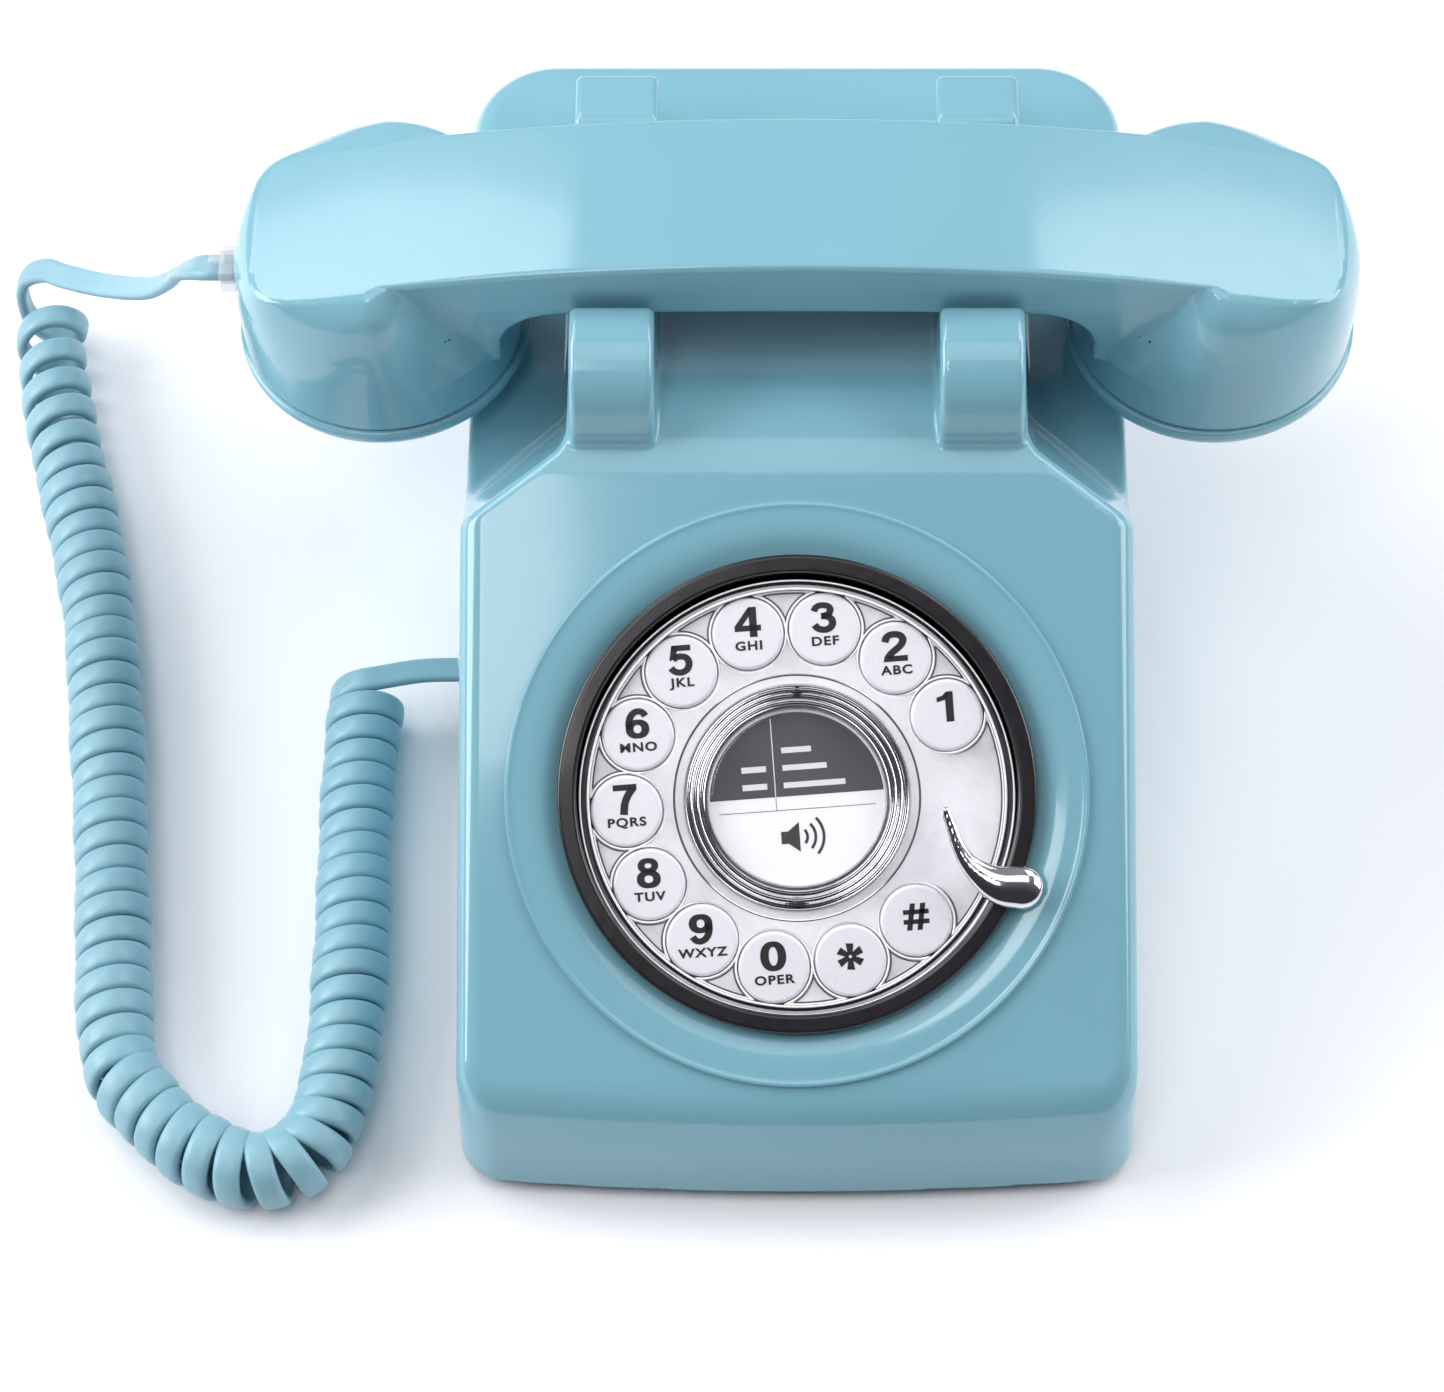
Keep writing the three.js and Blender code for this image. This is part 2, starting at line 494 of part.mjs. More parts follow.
// centre line of the coil on the table: right column, bottom bend, left column
const CURL_PATH = [
  [-89.4, 5.2], [-90.2, -22], [-89.6, -58], [-91.4, -84], [-97.6, -99.6], [-107.6, -104],
  [-118.6, -99.4], [-128.2, -91], [-135, -79], [-138.8, -42], [-141.6, -14], [-146.2, 23],
  [-152, 50], [-157, 69], [-160.4, 85], [-162.6, 99.6],
].map(([x, y]) => [x, y, CURL_Z]);
piece('cord_curl', tube(CURL_PATH, CURL_D, 10, 32), CORD);
piece('cord_lead_base', tube([
  [-68.6, 8, 14.3], [-76, 8, 14.3], [-84, 8.1, 14.4], [-90.5, 8.2, 13.8], [-95.4, 8, 9.8], [-93.6, 7.8, 5],
], LEAD_D, 8, 14), CORD);
piece('cord_lead_handset', tube([
  [-115.6, HAND_SOCKET.y, 94], [-119.6, 52, 93], [-127.5, 62, 79], [-140, 79.5, 55], [-154, 96, 29], [-165, 108, 15],
  [-173.4, 109.6, 10.4], [-171.4, 105, 8.2], [-167.4, 103.8, 8],
], LEAD_D, 8, 18), CORD);

export default phone;
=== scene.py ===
import json
import math

import bpy
import numpy as np
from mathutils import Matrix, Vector


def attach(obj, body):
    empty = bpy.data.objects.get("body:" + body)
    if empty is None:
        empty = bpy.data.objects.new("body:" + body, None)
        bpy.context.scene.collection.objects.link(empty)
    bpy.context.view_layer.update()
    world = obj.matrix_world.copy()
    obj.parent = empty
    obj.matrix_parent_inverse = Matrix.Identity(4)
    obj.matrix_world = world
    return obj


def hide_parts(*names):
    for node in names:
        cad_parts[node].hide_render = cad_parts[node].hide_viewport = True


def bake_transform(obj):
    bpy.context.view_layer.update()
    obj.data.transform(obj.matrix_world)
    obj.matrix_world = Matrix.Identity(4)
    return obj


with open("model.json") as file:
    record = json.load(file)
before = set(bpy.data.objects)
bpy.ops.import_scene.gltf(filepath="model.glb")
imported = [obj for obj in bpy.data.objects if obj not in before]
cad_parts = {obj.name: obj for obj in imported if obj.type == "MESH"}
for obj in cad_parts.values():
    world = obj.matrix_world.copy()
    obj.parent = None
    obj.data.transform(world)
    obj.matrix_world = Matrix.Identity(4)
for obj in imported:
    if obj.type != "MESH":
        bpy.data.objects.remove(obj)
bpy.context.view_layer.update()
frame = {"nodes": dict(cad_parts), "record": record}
MM = 0.001                         # shapes below are in millimetres, the scene is in metres


# ---------- camera, at the photograph's angle ----------
AIM = Vector((0.0, -0.0214, 0.050))
ELEVATION = math.radians(57.3)
DISTANCE = 1.0


def link(name, data):
    """A new object in the scene."""
    obj = bpy.data.objects.new(name, data)
    bpy.context.scene.collection.objects.link(obj)
    return obj


cam_data = bpy.data.cameras.new("camera")
camera = link("camera", cam_data)
camera.location = AIM + DISTANCE * Vector((0, -math.cos(ELEVATION), math.sin(ELEVATION)))
camera.rotation_euler = (AIM - camera.location).to_track_quat("-Z", "Y").to_euler()
cam_data.sensor_width = 36
cam_data.lens = 125.9
cam_data.shift_x = -0.052
cam_data.clip_start = 0.01
bpy.context.scene.camera = camera
bpy.context.scene.view_settings.view_transform = "Standard"


# ---------- materials ----------
def linear(r, g, b):
    """Linear colour from 0-255 display values."""
    def one(v):
        v /= 255
        return v / 12.92 if v <= 0.04045 else ((v + 0.055) / 1.055) ** 2.4
    return (one(r), one(g), one(b), 1)


def dimmed(tone, share):
    return tuple(share * c for c in tone[:3]) + (1,)


class Nodes:
    """A small builder of shader node trees."""

    def __init__(self, name):
        self.material = bpy.data.materials.new(name)
        self.material.use_nodes = True
        self.tree = self.material.node_tree
        self.shader = self.tree.nodes["Principled BSDF"]
        self.output = self.tree.nodes["Material Output"]
        self.where = self.add("ShaderNodeTexCoord").outputs["Object"]

    def add(self, kind, inputs=None, **settings):
        node = self.tree.nodes.new(kind)
        for key, value in settings.items():
            setattr(node, key, value)
        for key, value in (inputs or {}).items():
            self.put(value, node.inputs[key])
        return node

    def put(self, value, socket):
        if isinstance(value, bpy.types.NodeSocket):
            self.tree.links.new(value, socket)
        else:
            socket.default_value = value

    def noise(self, scale, detail=2.0, rough=0.5, at=None):
        return self.add("ShaderNodeTexNoise", {
            "Vector": at or self.where, "Scale": scale, "Detail": detail, "Roughness": rough,
        }).outputs["Fac"]

    def span(self, value, low, high, start=0.0, stop=1.0):
        return self.add("ShaderNodeMapRange", {
            "Value": value, "From Min": start, "From Max": stop, "To Min": low, "To Max": high,
        }).outputs["Result"]

    def blend(self, fac, a, b):
        node = self.add("ShaderNodeMix", data_type="RGBA")
        self.put(fac, node.inputs[0])
        self.put(a, node.inputs[6])
        self.put(b, node.inputs[7])
        return node.outputs[2]

    def bump(self, height, strength, distance, after=None):
        node = self.add("ShaderNodeBump", {"Height": height, "Strength": strength, "Distance": distance})
        if after:
            self.put(after, node.inputs["Normal"])
        return node.outputs["Normal"]

    def set(self, **sockets):
        for key, value in sockets.items():
            self.put(value, self.shader.inputs[key.replace("_", " ")])
        return self.material


def plastic(name, tone, dark, rough, grain, depth, coat=0.0, ior=1.5):
    """Moulded plastic: slow colour drift, fine speckle in gloss, faint moulding ripple and a grain."""
    n = Nodes(name)
    drift = n.noise(14.0, 3.0)
    colour = n.blend(n.span(drift, 0.0, 1.0, 0.3, 0.7), tone, dark)
    gloss = n.span(n.noise(grain * 0.3, 4.0, 0.6), rough * 0.8, rough * 1.25, 0.3, 0.7)
    ripple = n.bump(n.noise(60.0, 1.0), 0.06, 0.0004)
    fine = n.bump(n.noise(grain, 3.0), 0.12, depth, ripple)
    return n.set(Base_Color=colour, Roughness=gloss, Normal=fine, IOR=ior, Coat_Weight=coat,
                 Coat_Roughness=0.05)


def metal(name, tone, rough, streak):
    """Bright metal with wear that is drawn out along z by streak."""
    n = Nodes(name)
    stretched = n.add("ShaderNodeMapping", {"Vector": n.where, "Scale": (1.0, 1.0, streak)}).outputs[0]
    worn = n.noise(220.0, 4.0, 0.6, stretched)
    colour = n.blend(n.span(worn, 0.0, 0.5, 0.35, 0.65), tone, dimmed(tone, 0.7))
    gloss = n.span(worn, rough * 0.7, rough * 1.4, 0.3, 0.7)
    return n.set(Base_Color=colour, Roughness=gloss, Metallic=1.0,
                 Normal=n.bump(n.noise(500.0, 2.0), 0.05, 0.0001))


def clear(name, tint, mist):
    """Clear moulding: see-through, milky by mist, with a gloss that grows towards its edges. It holds back
    only a tenth of its light in shadows."""
    n = Nodes(name)
    fog = n.span(n.noise(90.0, 3.0), mist * 0.7, mist * 1.3, 0.3, 0.7)
    facing = n.add("ShaderNodeLayerWeight", {"Blend": 0.5}).outputs["Facing"]
    sharp = n.add("ShaderNodeMath", {0: facing, 1: 3.0}, operation="POWER").outputs[0]
    lamp = n.add("ShaderNodeLightPath").outputs["Is Shadow Ray"]
    lit = n.span(lamp, 1.0, 0.1)
    dense = n.add("ShaderNodeMath", {0: fog, 1: lit}, operation="MULTIPLY").outputs[0]
    gloss = n.add("ShaderNodeMath", {0: n.span(sharp, 0.035, 0.85), 1: lit}, operation="MULTIPLY").outputs[0]
    n.set(Base_Color=n.blend(n.noise(200.0, 2.0), tint, dimmed(tint, 0.94)),
          Roughness=n.span(n.noise(400.0, 2.0), 0.1, 0.2), IOR=1.5)
    through = n.add("ShaderNodeBsdfTransparent", {"Color": (1, 1, 1, 1)})
    milky = n.add("ShaderNodeMixShader", {0: dense, 1: through.outputs[0], 2: n.shader.outputs[0]})
    mirror = n.add("ShaderNodeBsdfAnisotropic", {"Color": (0.95, 0.95, 0.97, 1),
                                                 "Roughness": n.span(n.noise(300.0, 2.0), 0.02, 0.06)})
    mix = n.add("ShaderNodeMixShader", {0: gloss, 1: milky.outputs[0], 2: mirror.outputs[0]})
    n.tree.links.new(mix.outputs[0], n.output.inputs["Surface"])
    return n.material


SLOTS = {
    "teal_shell": plastic("teal_shell", linear(127, 179, 195), linear(123, 174, 190), 0.1, 900.0, 0.00002,
                          0.35),
    "teal_cord": plastic("teal_cord", linear(134, 179, 194), linear(126, 168, 183), 0.36, 1400.0, 0.00004),
    "black_gloss": plastic("black_gloss", linear(30, 28, 32), linear(36, 34, 38), 0.2, 900.0, 0.00002, 0.3),
    "dark_plastic": plastic("dark_plastic", linear(44, 46, 50), linear(36, 38, 41), 0.5, 1500.0, 0.00006),
    "dark_rubber": plastic("dark_rubber", linear(34, 34, 35), linear(42, 42, 42), 0.8, 1800.0, 0.0001),
    "white_plastic": plastic("white_plastic", linear(236, 234, 241), linear(228, 226, 235), 0.3, 900.0,
                             0.00002, 0.2),
    "clear_plastic": clear("clear_plastic", linear(246, 245, 250), 0.02),
    "chrome_plate": metal("chrome_plate", linear(226, 226, 230), 0.07, 1.0),
    "plain_steel": metal("plain_steel", linear(165, 167, 172), 0.35, 6.0),
    "circuit_board": plastic("circuit_board", linear(40, 104, 72), linear(32, 88, 60), 0.45, 700.0, 0.0001),
    "printed_card": plastic("printed_card", linear(253, 252, 254), linear(250, 249, 252), 0.55, 1600.0,
                            0.00003),
}
# clear plastic's own looks: the plugs, the wheel and mirrors for its rim and groove; a white bead of painted
# highlight and a dark bead of painted shade draw the bright and dark lines at its edges
PLUG = clear("plug_plastic", linear(236, 236, 242), 0.3)
MILKY = clear("milky_wheel", linear(250, 249, 254), 0.7)
EDGE = metal("clear_edge", linear(236, 236, 242), 0.1, 3.0)
CHANNEL = metal("clear_channel", linear(150, 149, 156), 0.16, 3.0)
# painted highlight: a white bead that draws the bright lines along the clear plastic's edges
PAINTED_HIGHLIGHT = plastic("painted_highlight_bead", linear(255, 255, 255), linear(250, 250, 252), 0.15, 900.0, 0.00001, 0.3)
# painted shade: a dark bead that draws the dark lines just inside the clear plastic's edges
PAINTED_SHADE = plastic("painted_shade_line", linear(74, 72, 78), linear(66, 64, 70), 0.3, 900.0, 0.00001)
for part in frame["record"]["subparts"]:
    node = frame["nodes"][part["node"]]
    node.data.materials.clear()
    node.data.materials.append(SLOTS[part["material_slot"]])


# ---------- mesh helpers ----------
def piece(name, mesh, body, slot, *stands_for):
    """Puts a finished mesh in the scene as a piece that rides on a body, if it has one."""
    obj = link(name, mesh)
    if not mesh.materials:
        mesh.materials.append(SLOTS[slot])
    if body:
        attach(obj, body)
    if stands_for:
        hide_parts(*stands_for)
    return obj


def make_mesh(name, verts, faces, normals=None):
    """A smooth-shaded mesh from points in millimetres."""
    mesh = bpy.data.meshes.new(name)
    mesh.from_pydata([tuple(v) for v in np.asarray(verts) * MM], [], [tuple(f) for f in faces])
    mesh.polygons.foreach_set("use_smooth", [True] * len(mesh.polygons))
    mesh.update()
    if normals is not None:
        mesh.normals_split_custom_set_from_vertices([tuple(n) for n in normals])
    return mesh


def unit(vectors):
    return vectors / np.linalg.norm(vectors, axis=1)[:, None]


def distance_along(line):
    return np.concatenate([[0], np.cumsum(np.linalg.norm(np.diff(line, axis=0), axis=1))])


def smooth_line(points, step=0.5):
    """Points along a smooth curve through the given ones, about step apart, in millimetres."""
    p = np.array(points, float)
    p = np.vstack([2 * p[0] - p[1], p, 2 * p[-1] - p[-2]])
    out = []
    for a, b, c, d in zip(p, p[1:], p[2:], p[3:]):
        t = np.linspace(0, 1, 40, endpoint=False)[:, None]
        out.append(0.5 * (2 * b + (c - a) * t + (2 * a - 5 * b + 4 * c - d) * t**2
                          + (3 * b - a - 3 * c + d) * t**3))
    out = np.vstack(out + [p[-2:-1]])
    run = distance_along(out)
    at = np.linspace(0, run[-1], max(3, int(run[-1] / step) + 1))
    return np.stack([np.interp(at, run, out[:, i]) for i in range(3)], 1)


# ---------- the cord ----------
CORD_W, CORD_T = 5.4, 2.6          # width and thickness of the flat cord
CORD_SIDES = 20                    # points round its section
COIL_R = 6.45                      # radius of the cord's centre line in the coil
COIL_Z = 8.15                      # height of the coil's axis
PITCH, OPEN_PITCH = 5.56, 3.2      # of the closed turns, and what the turns by the handset add to it
TURN_STEPS = 40                    # points on one turn
COIL_LINE = [
    (-89.4, 5.2), (-90.2, -22), (-89.6, -58), (-91.0, -85), (-95.8, -100), (-105.6, -105.2),
    (-117.6, -100.8), (-128.2, -91), (-135, -79), (-138.8, -42), (-141.6, -14), (-146.2, 23),
    (-152, 50), (-157, 69), (-160.4, 85), (-162.2, 97), (-161.8, 105),
]


def coil_points():
    """Centre line of the coil with its outward normals: right column, bottom bend, left column."""
    line = smooth_line([(x, y, COIL_Z + 0.15 * max(0, y - 93)) for x, y in COIL_LINE], 0.25)
    ahead = unit(np.gradient(line, axis=0))
    side = np.stack([ahead[:, 1], -ahead[:, 0], np.zeros(len(line))], 1)
    run = distance_along(line)
    left = run[-1] - run
    pitch = PITCH + OPEN_PITCH * np.clip(1.2 - left / 44, 0, 1) + 0.12 * np.sin(run / 9.0)
    turns = np.concatenate([[0], np.cumsum(0.5 * (1 / pitch[1:] + 1 / pitch[:-1]) * np.diff(run))])
    turns *= (math.floor(turns[-1]) + 0.75) / turns[-1]
    fine = np.linspace(0, turns[-1], int(turns[-1] * TURN_STEPS))

    def pick(a):
        return np.stack([np.interp(fine, turns, a[:, i]) for i in range(3)], 1)

    angle = math.pi / 2 - 2 * math.pi * fine
    radial = np.cos(angle)[:, None] * unit(pick(side)) + np.sin(angle)[:, None] * np.array([0, 0, 1.0])
    sway = 1 + 0.03 * np.sin(fine * 1.7) + 0.02 * np.sin(fine * 0.61 + 1)
    return pick(line) + radial * (COIL_R * sway)[:, None], radial


def cord_points():
    """Centre line of the whole cord, which way its flat side faces, and how far it lies open (0 to 1)."""
    coil, coil_out = coil_points()
    base_lead = smooth_line([
        (-66.0, 8, 14.3), (-70, 8, 14.3), (-78, 7.6, 14.4), (-86, 6.0, 14.5), tuple(coil[0])])[:-1]
    end = coil[-1]
    hand_lead = smooth_line([
        tuple(end), (end[0] - 0.2, end[1] + 1.0, end[2] + 5.0), (end[0] + 1.8, end[1] + 1.8, end[2] + 8.8),
        (-162.2, 105.6, 22.4), (-157.6, 101.6, 25.6), (-147.2, 92, 35), (-135.2, 78.3, 52),
        (-127.2, 66.8, 70.5), (-123.4, 58.6, 83.6), (-120.4, 53.6, 91), (-116.6, 51.3, 94.1),
        (-111.5, 51, 94.5)])[1:]
    line = np.vstack([base_lead, coil, hand_lead])
    up = np.tile([0, 0, 1.0], (len(base_lead), 1))
    t = np.linspace(0, 1, len(hand_lead))[:, None]
    start_out, mid_out, end_out = coil_out[-1], np.array([-0.45, -0.1, 0.9]), np.array([0, -0.25, 0.97])
    twist = 0.3                            # share of the lead in which it turns from the coil's way
    lead_out = np.where(t < twist, start_out + (mid_out - start_out) * np.clip(t / twist, 0, 1),
                        mid_out + (end_out - mid_out) * (t - twist) / (1 - twist))
    out = np.vstack([up, coil_out, lead_out])
    first, last = len(base_lead), len(base_lead) + len(coil)
    for _ in range(6):                     # ease the joins between leads and coil
        for join in (first, last):
            before, here, after = (slice(join - 12 + k, join + 12 + k) for k in (-1, 0, 1))
            line[here] = (line[before] + 2 * line[here] + line[after]) / 4
            out[here] = (out[before] + 2 * out[here] + out[after]) / 4
    open_part = np.ones(len(line))
    open_part[first:last] = 0
    return line, out, np.convolve(open_part, np.ones(41) / 41, "same")[:, None]


def make_cord():
    """One swept mesh with a flat section, which has a groove between two ribs where it lies open."""
    line, out, open_part = cord_points()
    ahead = unit(np.gradient(line, axis=0))
    out = unit(out - (out * ahead).sum(1)[:, None] * ahead)
    width = np.cross(ahead, out)
    ring = []
    for i in range(CORD_SIDES):
        a = 2 * math.pi * i / CORD_SIDES
        c, s = math.cos(a), math.sin(a)
        ring.append((CORD_W / 2 * math.copysign(abs(c) ** 0.62, c),
                     CORD_T / 2 * math.copysign(abs(s) ** 0.75, s)))
    verts = np.stack([line + width * w + out * h * (1 - 0.4 * open_part * math.exp(-(w / 0.7) ** 2))
                      for w, h in ring], 1).reshape(-1, 3)
    faces = []
    for k in range(0, len(verts) - CORD_SIDES, CORD_SIDES):
        for i in range(CORD_SIDES):
            j = (i + 1) % CORD_SIDES
            faces.append((k + i, k + j, k + CORD_SIDES + j, k + CORD_SIDES + i))
    faces += [tuple(range(CORD_SIDES))[::-1], tuple(range(len(verts) - CORD_SIDES, len(verts)))]
    cord = piece("curly_cord", make_mesh("curly_cord", verts, faces), None, "teal_cord",
                 "cord_curl", "cord_lead_base", "cord_lead_handset")
    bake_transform(cord)


# ---------- shapes from distance fields: millimetres, negative inside ----------
def both(a, b, r=0.0):
    """Intersection, its edge rounded by r."""
    return np.minimum(np.maximum(a, b), -r) + np.hypot(np.maximum(a + r, 0), np.maximum(b + r, 0))


def either(a, b, r=0.0):
    """Union, its corner filled by r."""
    return -both(-a, -b, r)


def less(a, b, r=0.0):
    """The first form with the second cut out of it."""
    return both(a, -b, r)


def slab(value, low, high):
    """The layer between two levels."""
    return np.abs(value - (low + high) / 2) - (high - low) / 2


def block(x, y, z, xs, ys, zs, r=0.0):
    return both(both(slab(x, *xs), slab(y, *ys), r), slab(z, *zs), r)


def skin(field, low, high, cell):
    """Quads on the surface field = 0, one corner per grid cell, drawn on to the surface, with normals."""
    margin = 1.3 * cell
    low = np.array(low, float) - margin
    count = [int(math.ceil((h + margin - a) / cell)) + 1 for a, h in zip(low, high)]
    axes = [low[i] + cell * np.arange(count[i]) for i in range(3)]
    y, z = np.meshgrid(axes[1], axes[2], indexing="ij")
    value = np.stack([field(np.full_like(y, x), y, z) for x in axes[0]])
    inside = value < 0
    corners = [(i, j, k) for i in (0, 1) for j in (0, 1) for k in (0, 1)]
    full = sum(inside[i:count[0] - 1 + i, j:count[1] - 1 + j, k:count[2] - 1 + k].astype(np.int8)
               for i, j, k in corners)
    active = (full > 0) & (full < 8)
    at = np.argwhere(active)
    number = np.full(active.shape, -1, np.int64)
    number[active] = np.arange(len(at))
    v = {c: value[at[:, 0] + c[0], at[:, 1] + c[1], at[:, 2] + c[2]] for c in corners}
    total, hits = np.zeros((len(at), 3)), np.zeros(len(at))
    for a in corners:
        for d in range(3):
            if a[d]:
                continue
            b = a[:d] + (1,) + a[d + 1:]
            crosses = (v[a] < 0) != (v[b] < 0)
            share = np.where(crosses, v[a] / np.where(crosses, v[a] - v[b], 1), 0)
            spot = np.tile(np.array(a, float), (len(at), 1))
            spot[:, d] += share
            total += spot * crosses[:, None]
            hits += crosses
    p = low + cell * (at + total / hits[:, None])
    h = 0.02                               # step of the slopes
    for _ in range(5):                     # walk each corner down the slope to the surface
        f = field(*p.T)
        g = np.stack([field(*(p + h * np.eye(3)[d]).T) - f for d in range(3)], 1) / h
        g2 = np.maximum((g * g).sum(1), 1e-6)
        move = (f / g2)[:, None] * g
        size = np.linalg.norm(move, axis=1)[:, None]
        p = p - move * np.minimum(1, 0.5 * cell / np.maximum(size, 1e-9))
    normals = g / np.sqrt(g2)[:, None]
    quads = []
    for d in range(3):
        u, w = (d + 1) % 3, (d + 2) % 3
        a = [slice(1, -1)] * 3
        b = [slice(1, -1)] * 3
        a[d], b[d] = slice(0, -1), slice(1, None)
        edge = np.argwhere(inside[tuple(a)] != inside[tuple(b)])
        edge[:, u] += 1
        edge[:, w] += 1
        quad = []
        for du, dw in ((0, 0), (-1, 0), (-1, -1), (0, -1)):
            c = edge.copy()
            c[:, u] += du
            c[:, w] += dw
            quad.append(number[c[:, 0], c[:, 1], c[:, 2]])
        quad = np.stack(quad, 1)
        out = ~inside[edge[:, 0], edge[:, 1], edge[:, 2]]
        quad[out] = quad[out][:, ::-1]
        quads.append(quad)
    return p, np.vstack(quads), normals


def grown(name, field, low, high, cell, body, slot, *stands_for, on_dial=False):
    """A piece whose surface is field = 0. With on_dial the field is in the dial's frame."""
    p, quads, normals = skin(field, low, high, cell * (1))
    if on_dial:
        p, normals = from_dial(p), normals @ DIAL_AXES
    return piece(name, make_mesh(name, p, quads.tolist(), normals), body, slot, *stands_for)


# ---------- the dial's own frame: u across, v up the slope, h out of it ----------
TILT = math.radians(30.9)
DIAL_AT = np.array([0, -49.1, 58.0])
DIAL_AXES = np.array([[1, 0, 0], [0, math.cos(TILT), math.sin(TILT)], [0, -math.sin(TILT), math.cos(TILT)]])
MID_V = -0.7                       # keys and wheel sit this much lower than the ring
KEY_R, KEY_RING = 7.0, 33.2        # a key's radius, and that of the ring of keys
KEY_START, KEY_STEP = 28.9, 25.93  # degrees, from the right hand side
KEYS = ("1", "2", "3", "4", "5", "6", "7", "8", "9", "0", "star", "hash")
LETTERS = ("", "ABC", "DEF", "GHI", "JKL", "MNO", "PQRS", "TUV", "WXYZ", "OPER", "", "")
STOP_U, STOP_V = 45.0, -17.8       # where the redial lever enters the casing


def from_dial(points):
    return np.asarray(points, float) @ DIAL_AXES + DIAL_AT


def to_dial(x, y, z):
    y, z = y - DIAL_AT[1], z - DIAL_AT[2]
    return x, y * math.cos(TILT) + z * math.sin(TILT), z * math.cos(TILT) - y * math.sin(TILT)


def key_angle(i):
    return math.radians(KEY_START + KEY_STEP * i)


def key_at(i):
    a = key_angle(i)
    return KEY_RING * math.cos(a), MID_V + KEY_RING * math.sin(a)


# ---------- casing ----------
FRONT, BACK, HALF_W = -107.4, 107.4, 66.5
RIM_Z, SLOPE_Z, TOP_Z = 3.0, 28.6, 93.5      # the lower rim, the slope's lower end and the flat top
LIP_Z, LIP_LEAN = 22.6, 0.91       # where the front lip starts to lean back, and its angle
WALL = 3                           # thickness of the moulding
DIAL_SEAT_R, DIAL_HOLE_R = 54.8, 51.2
HAND_Y, CUP_X, CUP_R = 50.0, 83.4, 29.1      # the handset's middle line, its cups' places and radius
CUP_Z, SEAM_Z = 72.5, 78.3         # below and above the screw caps
PLUNGER_X, PLUNGER_Y = 36.0, 51.0
HOOK_X, HOOK_W, HOOK_POWER = 35.9, 8.3, 2.2
SCREWS = ((50, -88), (46, 91))     # pillars for the casing screws
BASE_SOCKET_Y, BASE_SOCKET_Z = 8.0, 14.3
LINE_SOCKET_X, LINE_SOCKET_Z = -30.0, 14.5
BASE_PLUG, HAND_PLUG = (-68.2, BASE_SOCKET_Y, BASE_SOCKET_Z), (-114.4, 51.0, 94.5)


def casing_body(x, y, z):
    """Outer form without hooks and without its open underside. Every wall leans in a little upwards."""
    ax, tall = np.abs(x), z - RIM_Z
    front = (FRONT + 2.4 * (ax / 58) ** 2 + 0.115 * tall - y) * 0.993
    wall = both(ax - HALF_W * (1 - 0.014 * tall / 90.5), front, 8.5)
    wall = both(wall, y - BACK + 0.02 * tall, 17)
    slope = (z - SLOPE_Z - (y + 98.2) * math.tan(TILT)) * math.cos(TILT)
    brow = (z - LIP_Z) * math.cos(LIP_LEAN) - (y + 105.1) * math.sin(LIP_LEAN)
    roof = both(both(slope, z - TOP_Z, 4.2), brow, 2.6)
    form = both(wall, roof, 4.8)
    shoulder = 85.82 - 0.5876 * ax - 0.559 * y - 0.5851 * z         # the slanting plane before each cup
    ledge = both(both(shoulder, 69 - z, 2.2), both(45 - ax, y - 84, 2), 2.2)
    form = less(form, ledge, 1.7)
    scoop = both(np.hypot(y - PLUNGER_Y, z - 131) - 45, ax - 27.4, 1.2)
    return less(form, scoop, 3)


def hooks(x, y, z):
    """Front horns with rounded noses, slanted rear stops and the pads between them, on both sides."""
    across = np.abs(np.abs(x) - HOOK_X) - HOOK_W
    bow = (np.maximum(27.1 - y, 0) / 18.0) ** HOOK_POWER + (np.maximum(z - 90.4, 0) / 19.6) ** HOOK_POWER
    horn = both(17 * (np.maximum(bow, 1e-9) ** (1 / HOOK_POWER) - 1), y - 30.6, 2.2)
    tail = both(slab(y, 70.2, 88.1), z - 110, 1.8)
    tail = both(tail, 0.638 * (z - 103) - 0.770 * (y - 70.2), 1.2)
    arms = both(np.minimum(horn, tail), across, 1.5)
    pad = block(np.abs(x), y, z, (28.6, 43.2), (28, 74), (60, 104.1), 0.8)      # round the plungers
    return both(np.minimum(arms, pad), 80 - z)


def casing(x, y, z):
    """The moulding, hollow from below, with its screw pillars, the dial's seat and hole, the plungers'
    holes, and the sockets for the cord and the line."""
    body = casing_body(x, y, z)
    form = either(both(body, RIM_Z - z, 0.8), hooks(x, y, z), 0.9)
    form = less(form, body + WALL)
    ax = np.abs(x)
    for px, py in SCREWS:
        pillar = np.hypot(ax - px, y - py)
        form = np.minimum(form, both(both(pillar - 4.2, 5.8 - z), body + 0.5))
        form = less(form, both(pillar - 1.8, z - 16))
    u, v, h = to_dial(x, y, z)
    rho = np.hypot(u, v)
    form = less(form, both(rho - DIAL_SEAT_R, -1.5 - h))
    form = less(form, both(rho - DIAL_HOLE_R, slab(h, -14, 20)))
    form = less(form, both(np.hypot(ax - PLUNGER_X, y - PLUNGER_Y) - 3.4, 70 - z), 0.5)
    form = less(form, block(x, y, z, (-80, -58), (BASE_SOCKET_Y - 4.3, BASE_SOCKET_Y + 4.3),
                            (BASE_SOCKET_Z - 4, BASE_SOCKET_Z + 4), 0.5), 0.5)
    return less(form, block(x, y, z, (LINE_SOCKET_X - 6.2, LINE_SOCKET_X + 6.2), (100, 120),
                            (LINE_SOCKET_Z - 6, LINE_SOCKET_Z + 6), 0.5), 0.5)


grown("casing_shell", casing, (-66.6, -110, RIM_Z), (66.6, BACK, 110.1), 0.85, "base", "teal_shell",
      "upper_casing")


